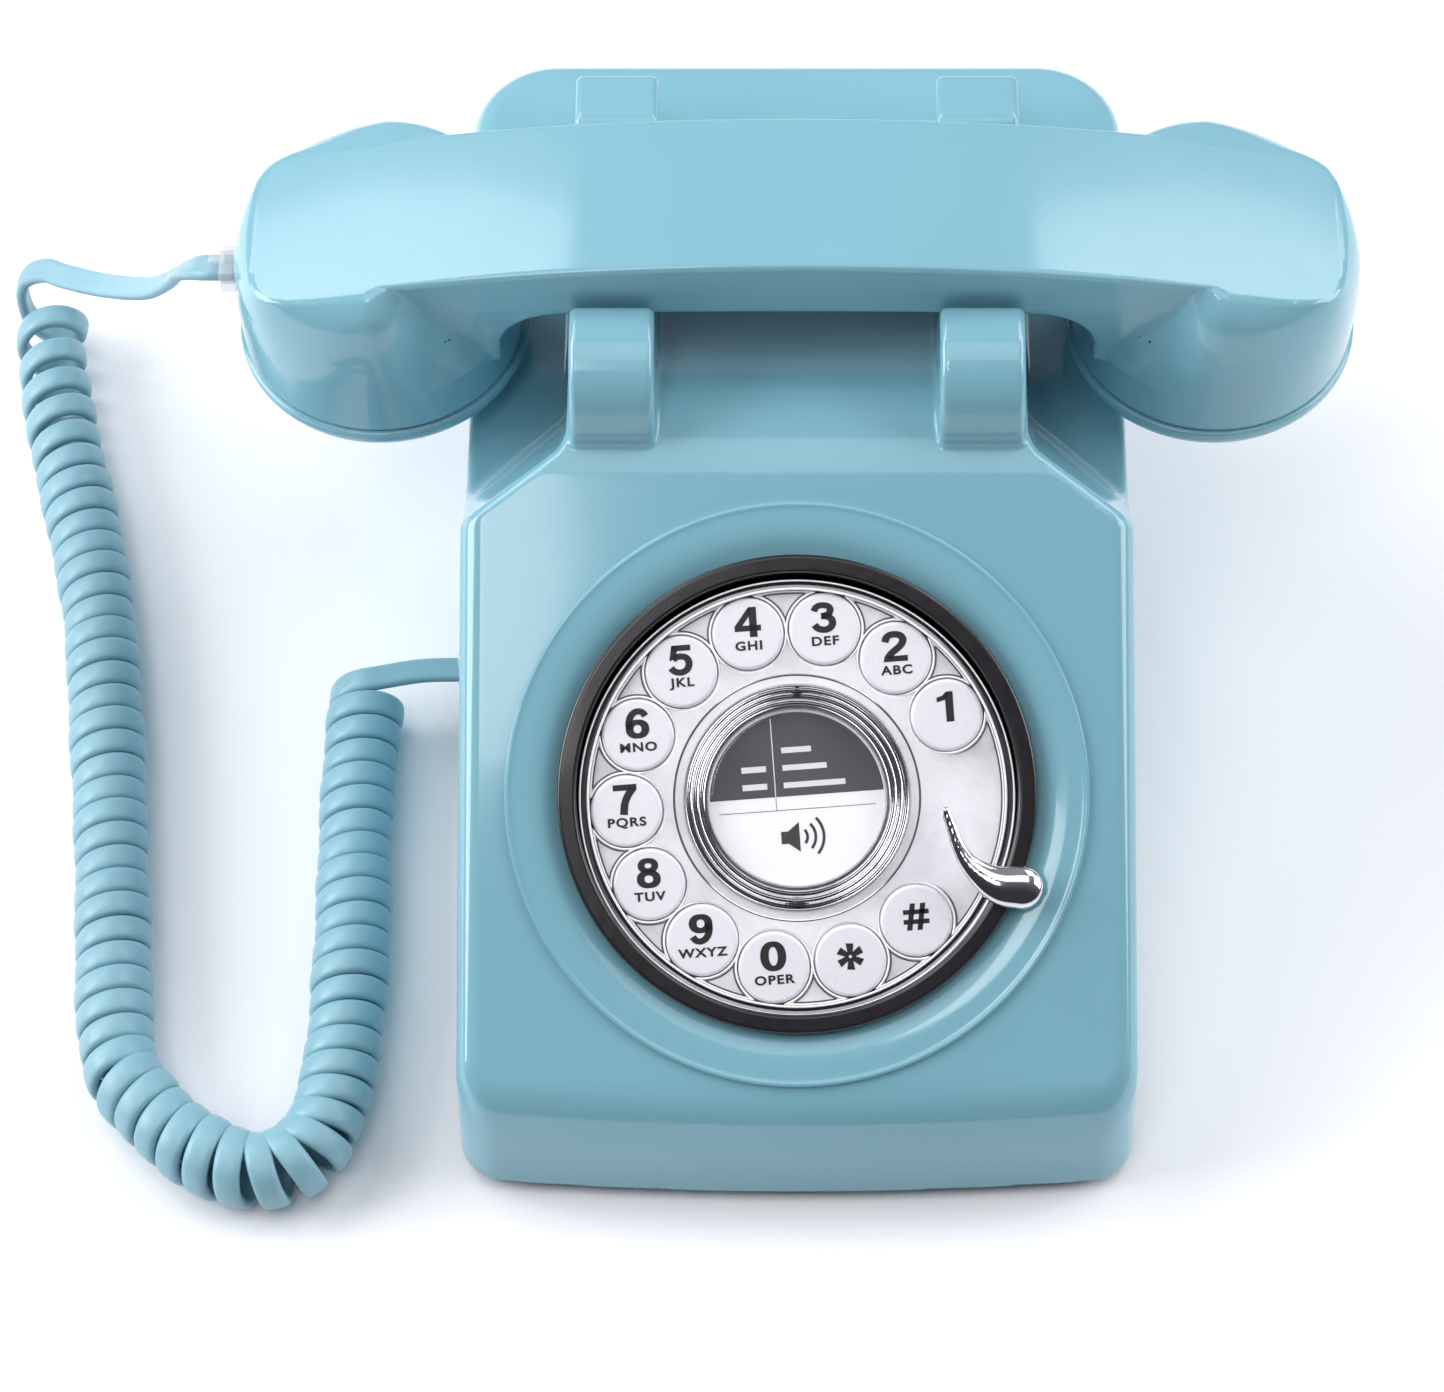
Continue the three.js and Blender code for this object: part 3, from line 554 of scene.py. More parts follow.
# ---------- handset ----------
HANDLE_TOP, HANDLE_W = 120, 18.6   # height of the handle's middle, and half its width
TIP_X = 106
CUP_FOOT, CUP_BACK = 0.6, 0.9      # a cup's foot lies this much nearer the middle, and behind the handle
DOME_R, DOME_POWER = 23.2, 5       # how far out a cup's flat top reaches, and how square its outline is


def handle_top(ax):
    """Height of the bowed top, level from the tips on."""
    return HANDLE_TOP - 7.4 * (np.minimum(ax, TIP_X) / CUP_X) ** 2.2


def dome_level(ax, w, z):
    """Zero on the outside of a cup: steep shoulders outside, an even slope towards the handle. A cup is
    seen in its own polar frame, whose middle moves with the height."""
    cx = ax - (CUP_X - CUP_FOOT) - 1.6 * (np.minimum(z, 100) - CUP_Z) / 40
    cw = w - CUP_BACK * np.clip((112 - z) / 14, 0, 1)
    r = np.maximum(np.hypot(cx, cw), 1e-6)
    c, s = cx / r, np.abs(cw) / r
    # how far the flat top reaches in this direction, a little wider at the front beyond the handle's end
    side = HANDLE_W + 0.9 * np.clip(0.5 - cw / 8, 0, 1) * np.clip((cx + 3.5) / 3, 0, 1)
    round_end = (np.maximum(c, 0) / DOME_R) ** DOME_POWER + (s / side) ** DOME_POWER + 1e-12
    top_r = np.where(c <= 0, side, round_end ** (-1 / DOME_POWER))
    # out is 0 at the edge of the flat top and 1 at the foot's radius, down is 0 at the top's height
    top = handle_top(ax)
    down = (top - z) / (top - 88)
    foot_r = CUP_R - 0.9
    out = (r - top_r) / (foot_r - top_r)
    past_top, before_top = np.maximum(out, 0), np.minimum(out, 0)
    shoulder = 0.45 * past_top + 0.55 * past_top**3.5 + before_top * (1.5 - 1.05 * np.exp(4 * before_top))
    behind = np.clip(cw / 12, 0, 1)
    full = behind * np.clip(0.9 - cx / 24, 0, 1)
    shoulder += np.where(out > 0, full * (0.12 * past_top + 0.88 * past_top**6 - shoulder), 0)
    outer = shoulder + np.maximum(1 - 1.15 * down, 0) ** 1.685 - 1
    inner = out - np.clip(down, 0, 1) ** 1.3
    t = np.clip((-c - 0.05 - 0.5 * behind) / 0.55, 0, 1)
    t = t * t * (3 - 2 * t)
    return outer * (1 - t) + inner * t


def cup(ax, w, z):
    """The level as a distance in millimetres: divided by its own slope."""
    level, h = dome_level(ax, w, z), 0.05
    gx, gw, gz = (dome_level(ax + dx, w + dw, z + dz) - level
                  for dx, dw, dz in ((h, 0, 0), (0, h, 0), (0, 0, h)))
    return level * h / np.sqrt(gx ** 2 + gw ** 2 + gz ** 2 + 1e-7)


def handset(x, y, z):
    """Handle and hollow cups down to their seams, with the spigots for the caps and the plug's opening."""
    ax, w = np.abs(x), y - HAND_Y
    top = (z - handle_top(ax)) * 0.99
    draft = np.maximum(ax - 80, 0) ** 2 * 0.08 + 0.14 * np.maximum(106 - z, 0)
    bar = both(both(np.abs(w) - HANDLE_W + draft, ax - 92), top, 1.1)
    bar = both(bar, 86 - z, 1)
    grip = both(ax - 58.3, z - (105.3 - (ax / 47) ** 2), 12)
    bar = less(bar, grip, 1.1)
    cups = both(both(cup(ax, w, z), top, 0.8), SEAM_Z - z, 0.5)
    soft = 0.7 * np.clip((-0.8 - top) / 3, 0, 1)
    form = np.where(soft > 0.02, either(bar, cups, soft), np.minimum(bar, cups))
    r = np.hypot(ax - CUP_X + CUP_FOOT, w - CUP_BACK)
    form = np.minimum(form, both(r - 25.6, slab(z, 75.6, 84)))
    form = less(form, both(r - 23.4, z - 96))
    form = less(form, block(x, y, z, (-125, -100), (46.7, 55.3), (90.5, 98.5), 0.6), 0.4)
    return less(form, block(x, y, z, (-107.9, -90), (45.1, 56.9), (89, 100)))


grown("handset_shell", handset, (-113.2, 19, 75.4), (113.2, 82, 120.2), 0.62, "handset", "teal_shell",
      "handset_body")


def cap_field(middle):
    """A screw cap: a shallow bowl with seven sound holes."""
    def field(x, y, z):
        dx, dy = x - middle, y - HAND_Y - CUP_BACK
        r = np.hypot(dx, dy)
        form = both(both(r - CUP_R, CUP_Z - z, 4.6), z - SEAM_Z + 0.12, 0.7)
        form = less(form, both(r - 26, CUP_Z + 2.6 - z, 1.5))
        for i in range(7):
            a, k = i * math.pi / 3, 8 * (i < 6)
            form = less(form, np.hypot(dx - k * math.cos(a), dy - k * math.sin(a)) - 1.3, 0.4)
        return form
    return field


for name, node, side in (("ear_cap", "earpiece_cap", 1), ("mouth_cap", "mouthpiece_cap", -1)):
    middle = side * (CUP_X - CUP_FOOT)
    grown(name, cap_field(middle), (middle - CUP_R, 21, CUP_Z), (middle + CUP_R, 81, SEAM_Z), 0.7,
          "handset", "teal_shell", node)


# ---------- dial ----------
HOLE_R, LAND_R = 7.3, 40.2         # finger openings, and the outer edge of the lands between them
WHEEL_AT = (0, MID_V, 0)


def wheel(u, v, h):
    """The finger wheel's flat part."""
    rho = np.hypot(u, v - MID_V)
    form = both(both(rho - LAND_R, h + 0.45, 0.35), both(22 - rho, -3.1 - h), 0.2)
    for i in range(len(KEYS)):
        ku, kv = key_at(i)
        form = less(form, np.hypot(u - ku, v - kv) - HOLE_R, 0.35)
    return form


STOP_LINE = smooth_line([          # the lever's middle line in u and v, and half its width
    (28.7, -3.3, 0.95), (29.9, -6.6, 1.1), (31.1, -10.0, 1.35), (33.0, -13.2, 1.85), (36.1, -16.0, 2.8),
    (39.6, -17.8, 3.8), (43.4, -18.1, 4.25),
], 0.25)


def stop(u, v, h):
    """The redial lever: flattened balls along a comma, flat below, on a round post."""
    form = np.full(np.shape(u), 1e3)
    for cu, cv, r in STOP_LINE:
        lift = (0.5 + 0.42 * r) / r
        ball = np.sqrt((u - cu) ** 2 + (v - cv) ** 2 + ((h - 2.9) / lift) ** 2) - r
        form = np.minimum(form, ball * lift)
    form = both(form, 2.88 - h, 0.25)
    return np.minimum(form, both(np.hypot(u - STOP_U + 0.4, v - STOP_V) - 1.5, slab(h, -7, 3.4)))


clear_wheel = grown("clear_wheel", wheel, (-40.4, -41.2, -3.2), (40.4, 39.8, -0.4), 0.36, "base",
                    "clear_plastic", "finger_wheel", on_dial=True)
clear_wheel.data.materials[0] = MILKY
clear_wheel.visible_shadow = False
grown("redial_lever", stop, (28.5, -23, -7.1), (48.5, -3, 5.3), 0.28, "redial_body", "chrome_plate",
      "finger_stop", on_dial=True)


def clear_of(bite, r, c, s):
    """The radius r, or more where the round bite (u, v, radius) needs it, in the direction (c, s)."""
    if not bite:
        return r
    near = bite[0] * c + bite[1] * s
    room = bite[2] ** 2 - (bite[0] * s - bite[1] * c) ** 2
    return max(r, near + math.sqrt(room)) if room > 0 and near > 0 else r


def turned(name, profile, at, body, slot, *stands_for, sides=72, on_dial=True, bite=None):
    """A revolved piece: profile is (radius, height) from one end of the axis to the other, or a closed
    line. A bite (u, v, radius) is kept free on the piece's inner side."""
    ring = [(math.cos(2 * math.pi * k / sides), math.sin(2 * math.pi * k / sides)) for k in range(sides)]
    verts, faces, rows = [], [], []
    for r, h in profile:
        if rows and (r, h) == tuple(profile[0]):
            rows.append(rows[0])
            continue
        spokes = ring if r > 1e-6 else ring[:1]
        rows.append(list(range(len(verts), len(verts) + len(spokes))))
        for c, s in spokes:
            free = clear_of(bite, r, c, s)
            verts.append((at[0] + free * c, at[1] + free * s, at[2] + h))
    for low, high in zip(rows, rows[1:]):
        for k in range(sides):
            j = (k + 1) % sides
            if len(low) == 1:
                faces.append((low[0], high[j], high[k]))
            elif len(high) == 1:
                faces.append((low[k], low[j], high[0]))
            else:
                faces.append((low[k], low[j], high[j], high[k]))
    verts = from_dial(verts) if on_dial else np.array(verts)
    mesh = make_mesh(name, verts, faces)
    mesh.set_sharp_from_angle(angle=math.radians(35))
    return piece(name, mesh, body, slot, *stands_for)


def fillet(points, r, steps=4):
    """Rounds the inner corners of a profile by about r, with a support point close to each rounding."""
    p = [np.array(q, float) for q in points]
    out = [p[0]]
    for a, b, c in zip(p, p[1:], p[2:]):
        da, dc = np.linalg.norm(a - b), np.linalg.norm(c - b)
        k = min(r, 0.45 * da, 0.45 * dc)
        s, e = b + (a - b) * k / da, b + (c - b) * k / dc
        near = 0.04 * min(da, dc, 3)
        out += [s + (a - b) * near / da]
        out += [(1 - t) ** 2 * s + 2 * t * (1 - t) * b + t * t * e for t in np.linspace(0, 1, steps)]
        out += [e + (c - b) * near / dc]
    return [tuple(q) for q in out + [p[-1]]]


turned("dial_bezel", [             # a raised edge outside, then a dish that falls towards the dial
    (46.3, -1.3), (56.6, -1.3), (56.75, 0.15), (56.72, 0.45), (56.58, 0.72), (56.3, 0.86), (56.0, 0.84),
    (55.7, 0.72), (55.2, 0.64), (54.2, 0.62), (52.6, 0.55), (50.8, 0.35), (49.2, 0.0), (47.9, -0.5),
    (47.0, -0.9), (46.3, -1.2), (46.3, -1.3),
], (0, 0, 0), "base", "teal_shell", "bezel_ring", sides=256, bite=(STOP_U, STOP_V, 2.3))
turned("black_surround", fillet([(43.6, -8), (43.9, -8), (46.45, -8), (46.45, 1.7), (43.1, 1.7), (42.7, 0.9),
                                 (42.7, -8), (43.6, -8)], 0.7), (0, 0, 0), "base", "black_gloss",
       "dial_surround", sides=192)
rim = turned("wheel_rim", [
    (LAND_R, -3.2), (42.3, -3.2), (42.3, 0.35), (41.9, 0.35), (41.3, 0.1), (40.7, 0.3), (40.35, 0.3),
    (LAND_R, -0.3), (LAND_R, -3.2),
], WHEEL_AT, "base", "clear_plastic", "finger_wheel", sides=192)
rim.data.materials[0] = CHANNEL
# painted highlights: white beads along the outer and inner edges of the wheel's rim
for name, r, w in (("rim_painted_highlight_outer", 42.1, 0.17), ("rim_painted_highlight_inner", 40.5, 0.24)):
    round_top = [(r + w * math.cos(a), 0.3 + w * math.sin(a)) for a in np.linspace(0, math.pi, 9)]
    turned(name, [(r - w, 0.2), (r + w, 0.2), *round_top, (r - w, 0.2)], WHEEL_AT, "base",
           "clear_plastic", sides=192).data.materials[0] = PAINTED_HIGHLIGHT
groove = turned("wheel_groove", [
    (23.6, -0.5), (24.1, -0.5), (24.05, -0.4), (23.85, -0.33), (23.65, -0.4), (23.6, -0.5),
], WHEEL_AT, "base", "clear_plastic", sides=144)
groove.data.materials[0] = EDGE
ridges = [(r, 0.55 + 0.3 * math.cos((r - 17.9) * 2 * math.pi / 1.27) - 0.06 * (r - 19.4) ** 2)
          for r in np.linspace(21.7, 17.95, 40)]
turned("hub_rings", [(17.9, -3.1), (21.75, -3.1), *ridges, (17.9, -3.1)], WHEEL_AT, "base",
       "chrome_plate", "hub_ring", sides=160)
turned("dial_plate", fillet([(0, -6.4), (42.2, -6.4), (42.2, -4.9), (0, -4.9)], 0.2), WHEEL_AT, "base",
       "white_plastic", "number_plate", sides=96)
for i, label in enumerate(KEYS):
    u, v = key_at(i)
    turned("pad_" + label, fillet([
        (0, -8.2), (2.5, -8.2), (2.5, -3.4), (KEY_R, -3.4), (KEY_R, -0.5), (KEY_R - 0.45, -0.14), (0, -0.1),
    ], 0.45), (u, v, 0), f"key_{label}_body", "white_plastic", "key_" + label)


BEAD = ((-0.5, -0.3), (-0.42, 0.35), (-0.2, 0.85), (0, 1), (0.2, 0.85), (0.42, 0.35), (0.5, -0.3))


def sweep(line, width, height):
    """A low bead along an open line in the dial's frame, thinning out at both ends."""
    p = np.array(line, float)
    ahead = unit(np.gradient(p[:, :2], axis=0))
    side = np.stack([-ahead[:, 1], ahead[:, 0], np.zeros(len(p))], 1)
    run = distance_along(p)
    grow = np.clip(np.minimum(run, run[-1] - run) / 5.0, 0.12, 1)[:, None]
    rise = np.array([0, 0, height])
    verts = np.stack([p + side * (w * width) * grow + rise * h * grow for w, h in BEAD], 1)
    k = len(BEAD)
    faces = [(a * k + i, (a + 1) * k + i, (a + 1) * k + (i + 1) % k, a * k + (i + 1) % k)
             for a in range(len(p) - 1) for i in range(k)]
    count = k * len(p)
    faces += [tuple(range(k)), tuple(range(count - 1, count - k - 1, -1))]
    return from_dial(verts.reshape(-1, 3)), faces


def bead(name, lines, width, height, slot, material):
    """Beads along several lines, as one piece of the fixed body."""
    verts, faces = [], []
    for line in lines:
        v, f = sweep(line, width, height)
        faces += [tuple(i + len(verts) for i in face) for face in f]
        verts += v.tolist()
    piece(name, make_mesh(name, verts, faces), "base", slot).data.materials[0] = material


def land_lines(inset, fade):
    """Outlines of the lands between the finger openings, open towards the hub."""
    lines, hole, outer = [], HOLE_R + 0.1 + inset, LAND_R - 0.12 - inset
    reach = math.acos((outer**2 + KEY_RING**2 - hole**2) / (2 * outer * KEY_RING))
    corner = math.atan2(outer * math.sin(reach), outer * math.cos(reach) - KEY_RING)
    for i in range(len(KEYS)):
        is_last = i == len(KEYS) - 1           # its land is the wide one under the redial lever
        a0 = key_angle(i)
        a1 = math.radians(KEY_START + 360) if is_last else key_angle(i + 1)
        line = []
        for a, turn, s0, s1 in ((a0, 1, fade, 0.0), (a1, -1, 0.0, fade)):
            for t in np.linspace(s0, s1, 30):
                b = a + turn * (corner + t)
                line.append((KEY_RING * math.cos(a) + hole * math.cos(b),
                             MID_V + KEY_RING * math.sin(a) + hole * math.sin(b), -0.45))
            if turn == 1:
                line += [(outer * math.cos(c), MID_V + outer * math.sin(c), -0.45)
                         for c in np.linspace(a0 + reach, a1 - reach, 90 if is_last else 24)[1:-1]]
        lines.append(line)
    return lines


bead("hub_clips", [[(u, MID_V + v, 0.75) for u in np.linspace(-2.3, 2.3, 12)] for v in (-20.5, 20.5)],
     2.6, 1.0, "dark_plastic", SLOTS["black_gloss"])
# painted highlights: white beads along the outlines of the lands between the finger openings
bead("wheel_painted_highlights", land_lines(0.0, 2.2), 0.44, 0.3, "clear_plastic", PAINTED_HIGHLIGHT)
# painted shade: dark beads just inside the lands' outlines
bead("wheel_painted_shade", land_lines(0.42, 1.35), 0.3, 0.14, "clear_plastic", PAINTED_SHADE)
turned("centre_pad", fillet([(0, -8.2), (4, -8.2), (4, -3.6), (17.5, -3.6), (17.5, -1.9), (0, -1.9)], 0.3),
       WHEEL_AT, "centre_body", "white_plastic", "centre_button", sides=96)
turned("card_disc", [(0, -1.6), (17.1, -1.6), (17.1, -1.2), (0, -1.2)], WHEEL_AT, "centre_body",
       "printed_card", "centre_card", sides=96)
turned("card_lens", fillet([(0, -0.9), (17.5, -0.9), (17.5, 0.0), (16.7, 0.45), (0, 0.55)], 0.4),
       WHEEL_AT, "centre_body", "clear_plastic", "centre_lens", sides=96).visible_shadow = False


# ---------- printing ----------
INK_T = 0.03                       # thickness of a print
INK = plastic("black_ink", linear(26, 24, 27), linear(32, 30, 33), 0.4, 2500.0, 0.00001)
DARK_INK = plastic("dark_ink", linear(62, 60, 65), linear(68, 66, 71), 0.45, 2500.0, 0.00001)
WHITE_INK = plastic("white_ink", linear(238, 238, 240), linear(228, 228, 232), 0.45, 2500.0, 0.00001)


def glyphs(text, height, bold, stretch, apart):
    """Outline of a word in capitals as a thin solid, centred on its own box, in millimetres."""
    curve = bpy.data.curves.new("word", "FONT")
    curve.body = text
    curve.size = 1.37 * height             # a capital is 0.73 of the font's size
    curve.offset = bold
    curve.space_character = apart
    curve.extrude = 0.02
    curve.resolution_u = 6
    word = link("word", curve)
    bpy.context.view_layer.update()
    mesh = bpy.data.meshes.new_from_object(word.evaluated_get(bpy.context.evaluated_depsgraph_get()))
    verts = np.array([v.co for v in mesh.vertices], float)
    faces = [list(p.vertices) for p in mesh.polygons]
    bpy.data.objects.remove(word)
    bpy.data.meshes.remove(mesh)
    verts -= (verts.min(0) + verts.max(0)) / 2
    verts[:, 0] *= stretch
    return verts, faces


def printed(name, parts, at, turn, body, slot, ink):
    """Joins flat parts, each (verts, faces, u, v), turned together about at and laid on the dial."""
    verts, faces = [], []
    c, s = math.cos(turn), math.sin(turn)
    for points, cells, du, dv in parts:
        start = sum(len(p) for p in verts)
        p = np.array(points, float) + np.array([du, dv, 0])
        verts.append(np.stack([at[0] + p[:, 0] * c - p[:, 1] * s, at[1] + p[:, 0] * s + p[:, 1] * c,
                               at[2] + p[:, 2]], 1))
        faces += [[start + k for k in cell] for cell in cells]
    mesh = make_mesh(name, from_dial(np.vstack(verts)), faces)
    mesh.polygons.foreach_set("use_smooth", [False] * len(mesh.polygons))
    mesh.materials.append(ink)
    return piece(name, mesh, body, slot)


def plate_of(outline):
    """A thin flat solid from an outline."""
    n = len(outline)
    verts = [(u, v, h) for h in (-INK_T / 2, INK_T / 2) for u, v in outline]
    faces = [list(range(n))[::-1], list(range(n, 2 * n))]
    faces += [[k, (k + 1) % n, n + (k + 1) % n, n + k] for k in range(n)]
    return verts, faces


def strip(u0, u1, v0, v1):
    """A thin flat rectangle."""
    return plate_of([(u0, v0), (u1, v0), (u1, v1), (u0, v1)])


def ribbon(points, width, closed=False):
    """A thin flat band along a line, of one width or one for each point."""
    p = np.array(points, float)
    if closed:
        ahead = np.roll(p, -1, 0) - np.roll(p, 1, 0)
    else:
        ahead = np.gradient(p, axis=0)
    ahead = unit(ahead)
    side = np.stack([-ahead[:, 1], ahead[:, 0]], 1) * (np.ones(len(p)) * width)[:, None] / 2
    n, verts, faces = len(p), [], []
    low, high = -INK_T / 2, INK_T / 2
    for q, h in ((p + side, low), (p - side, low), (p - side, high), (p + side, high)):
        verts += [(u, v, h) for u, v in q]
    for k in range(n if closed else n - 1):
        j = (k + 1) % n
        for a, b in ((0, 1), (1, 2), (2, 3), (3, 0)):
            faces.append([a * n + k, a * n + j, b * n + j, b * n + k])
    if not closed:
        faces += [[0, n, 2 * n, 3 * n], [4 * n - 1, 3 * n - 1, 2 * n - 1, n - 1]]
    return verts, faces


def flow(points, width):
    """A stroke along a smooth curve."""
    return ribbon(smooth_line([(u, v, 0) for u, v in points], 0.2)[:, :2], width)


def loop(u, v, ru, rv, side_w, top_w):
    """A closed stroke about (u, v), a little squarer than an ellipse, with its widths at side and top."""
    a = np.linspace(0, 2 * math.pi, 48, endpoint=False)
    c, s = np.cos(a), np.sin(a)
    square = 0.9
    pu = u + ru * np.sign(c) * np.abs(c) ** square
    pv = v + rv * np.sign(s) * np.abs(s) ** square
    return ribbon(np.stack([pu, pv], 1), top_w + (side_w - top_w) * np.abs(c), True)


def turned_over(shapes):
    """Shapes turned by half a turn, as a 6 makes a 9."""
    return [([(-u, -v, h) for u, v, h in verts], faces) for verts, faces in shapes]


SIX = [loop(0.05, -1.1, 1.4, 1.38, 1.4, 1.05),
       flow([(-1.36, -1.2), (-1.42, 0.1), (-1.1, 1.35), (-0.45, 2.2), (0.35, 2.48), (1.1, 2.2),
             (1.6, 1.45)], 1.25)]
DIGITS = {                         # 6.1 mm tall, about their middles
    "0": [loop(0, 0, 1.55, 2.45, 1.5, 1.1)],
    "1": [plate_of([(-0.15, -3.05), (1.25, -3.05), (1.25, 3.05), (0.15, 3.05), (-0.15, 2.4)]),
          plate_of([(-1.65, 1.0), (0.0, 1.45), (0.5, 3.05), (0.1, 3.05), (-0.65, 2.25), (-1.65, 1.95)])],
    "2": [flow([(-1.72, 0.95), (-1.42, 1.85), (-0.8, 2.35), (0, 2.46), (0.85, 2.28), (1.42, 1.7),
                (1.45, 0.95), (1.0, 0.15), (0.2, -0.6), (-0.7, -1.35), (-1.35, -2.2)], 1.3),
          plate_of([(-2.2, -3.05), (2.15, -3.05), (2.15, -1.9), (-1.95, -1.9)])],
    "3": [flow([(-1.7, 1.35), (-1.3, 2.1), (-0.6, 2.45), (0.2, 2.45), (0.95, 2.15), (1.25, 1.5),
                (0.95, 0.75), (0.3, 0.4), (-0.45, 0.33)], 1.2),
          flow([(-0.45, 0.28), (0.4, 0.2), (1.15, -0.2), (1.5, -1.0), (1.25, -1.9), (0.6, -2.4),
                (-0.2, -2.48), (-1.1, -2.2), (-1.75, -1.4)], 1.3)],
    "4": [plate_of([(0.35, -3.05), (1.7, -3.05), (1.7, 3.05), (0.35, 3.05)]),
          plate_of([(-2.3, -1.8), (2.4, -1.8), (2.4, -0.65), (-2.3, -0.65)]),
          plate_of([(-2.3, -0.75), (-0.95, -0.7), (0.6, 1.5), (0.6, 3.05), (0.35, 3.05)])],
    "5": [plate_of([(-1.45, 1.9), (1.9, 1.9), (1.9, 3.05), (-1.45, 3.05)]),
          plate_of([(-1.95, -0.05), (-0.7, 0.35), (-0.4, 3.05), (-1.45, 3.05)]),
          flow([(-1.3, 0.25), (-0.5, 0.7), (0.35, 0.75), (1.15, 0.35), (1.5, -0.6), (1.25, -1.7),
                (0.55, -2.32), (-0.2, -2.48), (-1.1, -2.2), (-1.75, -1.45)], 1.25)],
    "6": SIX,
    "7": [plate_of([(-2.1, 1.85), (2.1, 1.85), (2.1, 3.05), (-2.1, 3.05)]),
          flow([(1.45, 2.2), (0.55, 0.9), (-0.15, -0.8), (-0.45, -3.05)], 1.35)],
    "8": [loop(0, 1.5, 1.22, 1.02, 1.2, 1.0), loop(0, -1.22, 1.45, 1.3, 1.35, 1.05)],
    "9": turned_over(SIX),
}
LEAN = math.radians(4.2)           # the prints stand a little turned on the real dial
SIGN_V, DIGIT_V, ONE_V, WORD_V = 0.8, 2.2, 1.6, -2.35     # their heights on a key


def star_sign():
    parts = []
    for k in range(6):
        a = math.pi / 2 + k * math.pi / 3
        c, s = math.cos(a), math.sin(a)
        arm = [(0.3, -0.42), (2.5, -0.75), (2.6, 0.75), (0.3, 0.42)]
        parts.append((*plate_of([(p * c - q * s, p * s + q * c) for p, q in arm]), 0, SIGN_V))
    return parts


def hash_sign():
    parts = []
    for k in (-1, 1):
        leg = [(k - 0.95, -2.6), (k + 0.05, -2.6), (k + 0.95, 2.6), (k - 0.05, 2.6)]
        parts.append((*plate_of(leg), 0, SIGN_V))
        parts.append((*strip(-2.5, 2.5, 0.95 * k - 0.45, 0.95 * k + 0.45), 0, SIGN_V))
    return parts


def digit_sign(label):
    v = ONE_V if label == "1" else DIGIT_V
    return [([(1.09 * p, 0.96 * q, r) for p, q, r in verts], faces, 0, v) for verts, faces in DIGITS[label]]


for i, label in enumerate(KEYS):
    u, v = key_at(i)
    if label == "star":
        parts = star_sign()
    elif label == "hash":
        parts = hash_sign()
    else:
        parts = digit_sign(label)
    if LETTERS[i]:
        parts.append((*glyphs(LETTERS[i], 1.75, 0.07, 1.2, 1.16), 0, WORD_V))
    printed("print_" + label, parts, (u, v, -0.08), LEAN, f"key_{label}_body", "white_plastic", INK)

# a plain card: a dark half with bars for its wording, and a loudspeaker sign below
CARD_R = 16.9
edge = math.asin(0.6 / CARD_R)
arc = [(CARD_R * math.cos(a), CARD_R * math.sin(a)) for a in np.linspace(edge, math.pi - edge, 60)]
card = (0, MID_V - 0.2, -1.18)
printed("card_dark", [(*plate_of(arc), 0, 0)], card, LEAN, "centre_body", "printed_card", DARK_INK)
bars = [(*strip(-4.2, -4.0, 0.6, 15.8), 0, 0)]
bars += [(*strip(-10.4, -5.6, v, v + 1.15), 0, 0) for v in (2.2, 5.6)]
bars += [(*strip(-2.4, w, v, v + 1.1), 0, 0) for w, v in ((9.6, 2.2), (6.2, 5.6), (3.4, 9.0))]
printed("card_bars", bars, (card[0], card[1], -1.15), LEAN, "centre_body", "printed_card", WHITE_INK)
thin = [(*strip(-15.2, 15.2, -2.1, -1.98), 0, 0), (*strip(-4.15, -4.05, -2.0, 0.5), 0, 0)]
speaker = [(-3.6, -8.6), (-2.2, -8.6), (0, -10.3), (0, -4.5), (-2.2, -6.2), (-3.6, -6.2)]
thin.append((*plate_of(speaker), 0, 0))
for r in (1.9, 3.5, 5.1):                  # sound waves
    a = np.linspace(-0.75, 0.75, 14)
    wave = [((r + 0.28) * math.cos(t) - 0.4, (r + 0.28) * math.sin(t) - 7.4) for t in a]
    wave += [((r - 0.28) * math.cos(t) - 0.4, (r - 0.28) * math.sin(t) - 7.4) for t in a[::-1]]
    thin.append((*plate_of(wave), 0, 0))
printed("card_signs", thin, card, LEAN, "centre_body", "printed_card", INK)


# ---------- plugs, feet, plungers, base plate ----------
def plug_field(x0, yc, zc):
    """A modular plug with its latch and the mouth for the cord, from x0 towards +x."""
    def field(x, y, z):
        body = block(x, y, z, (x0, x0 + 12.4), (yc - 3.8, yc + 3.8), (zc - 3.3, zc + 2.9), 0.4)
        latch = block(x, y, z - 0.08 * (x0 + 6 - x), (x0 - 1.9, x0 + 6), (yc - 1.6, yc + 1.6),
                      (zc + 2.7, zc + 3.5), 0.25)
        mouth = block(x, y, z, (x0 - 1, x0 + 3), (yc - 2.9, yc + 2.9), (zc - 1.7, zc + 1.7), 0.2)
        return less(np.minimum(body, latch), mouth)
    return field


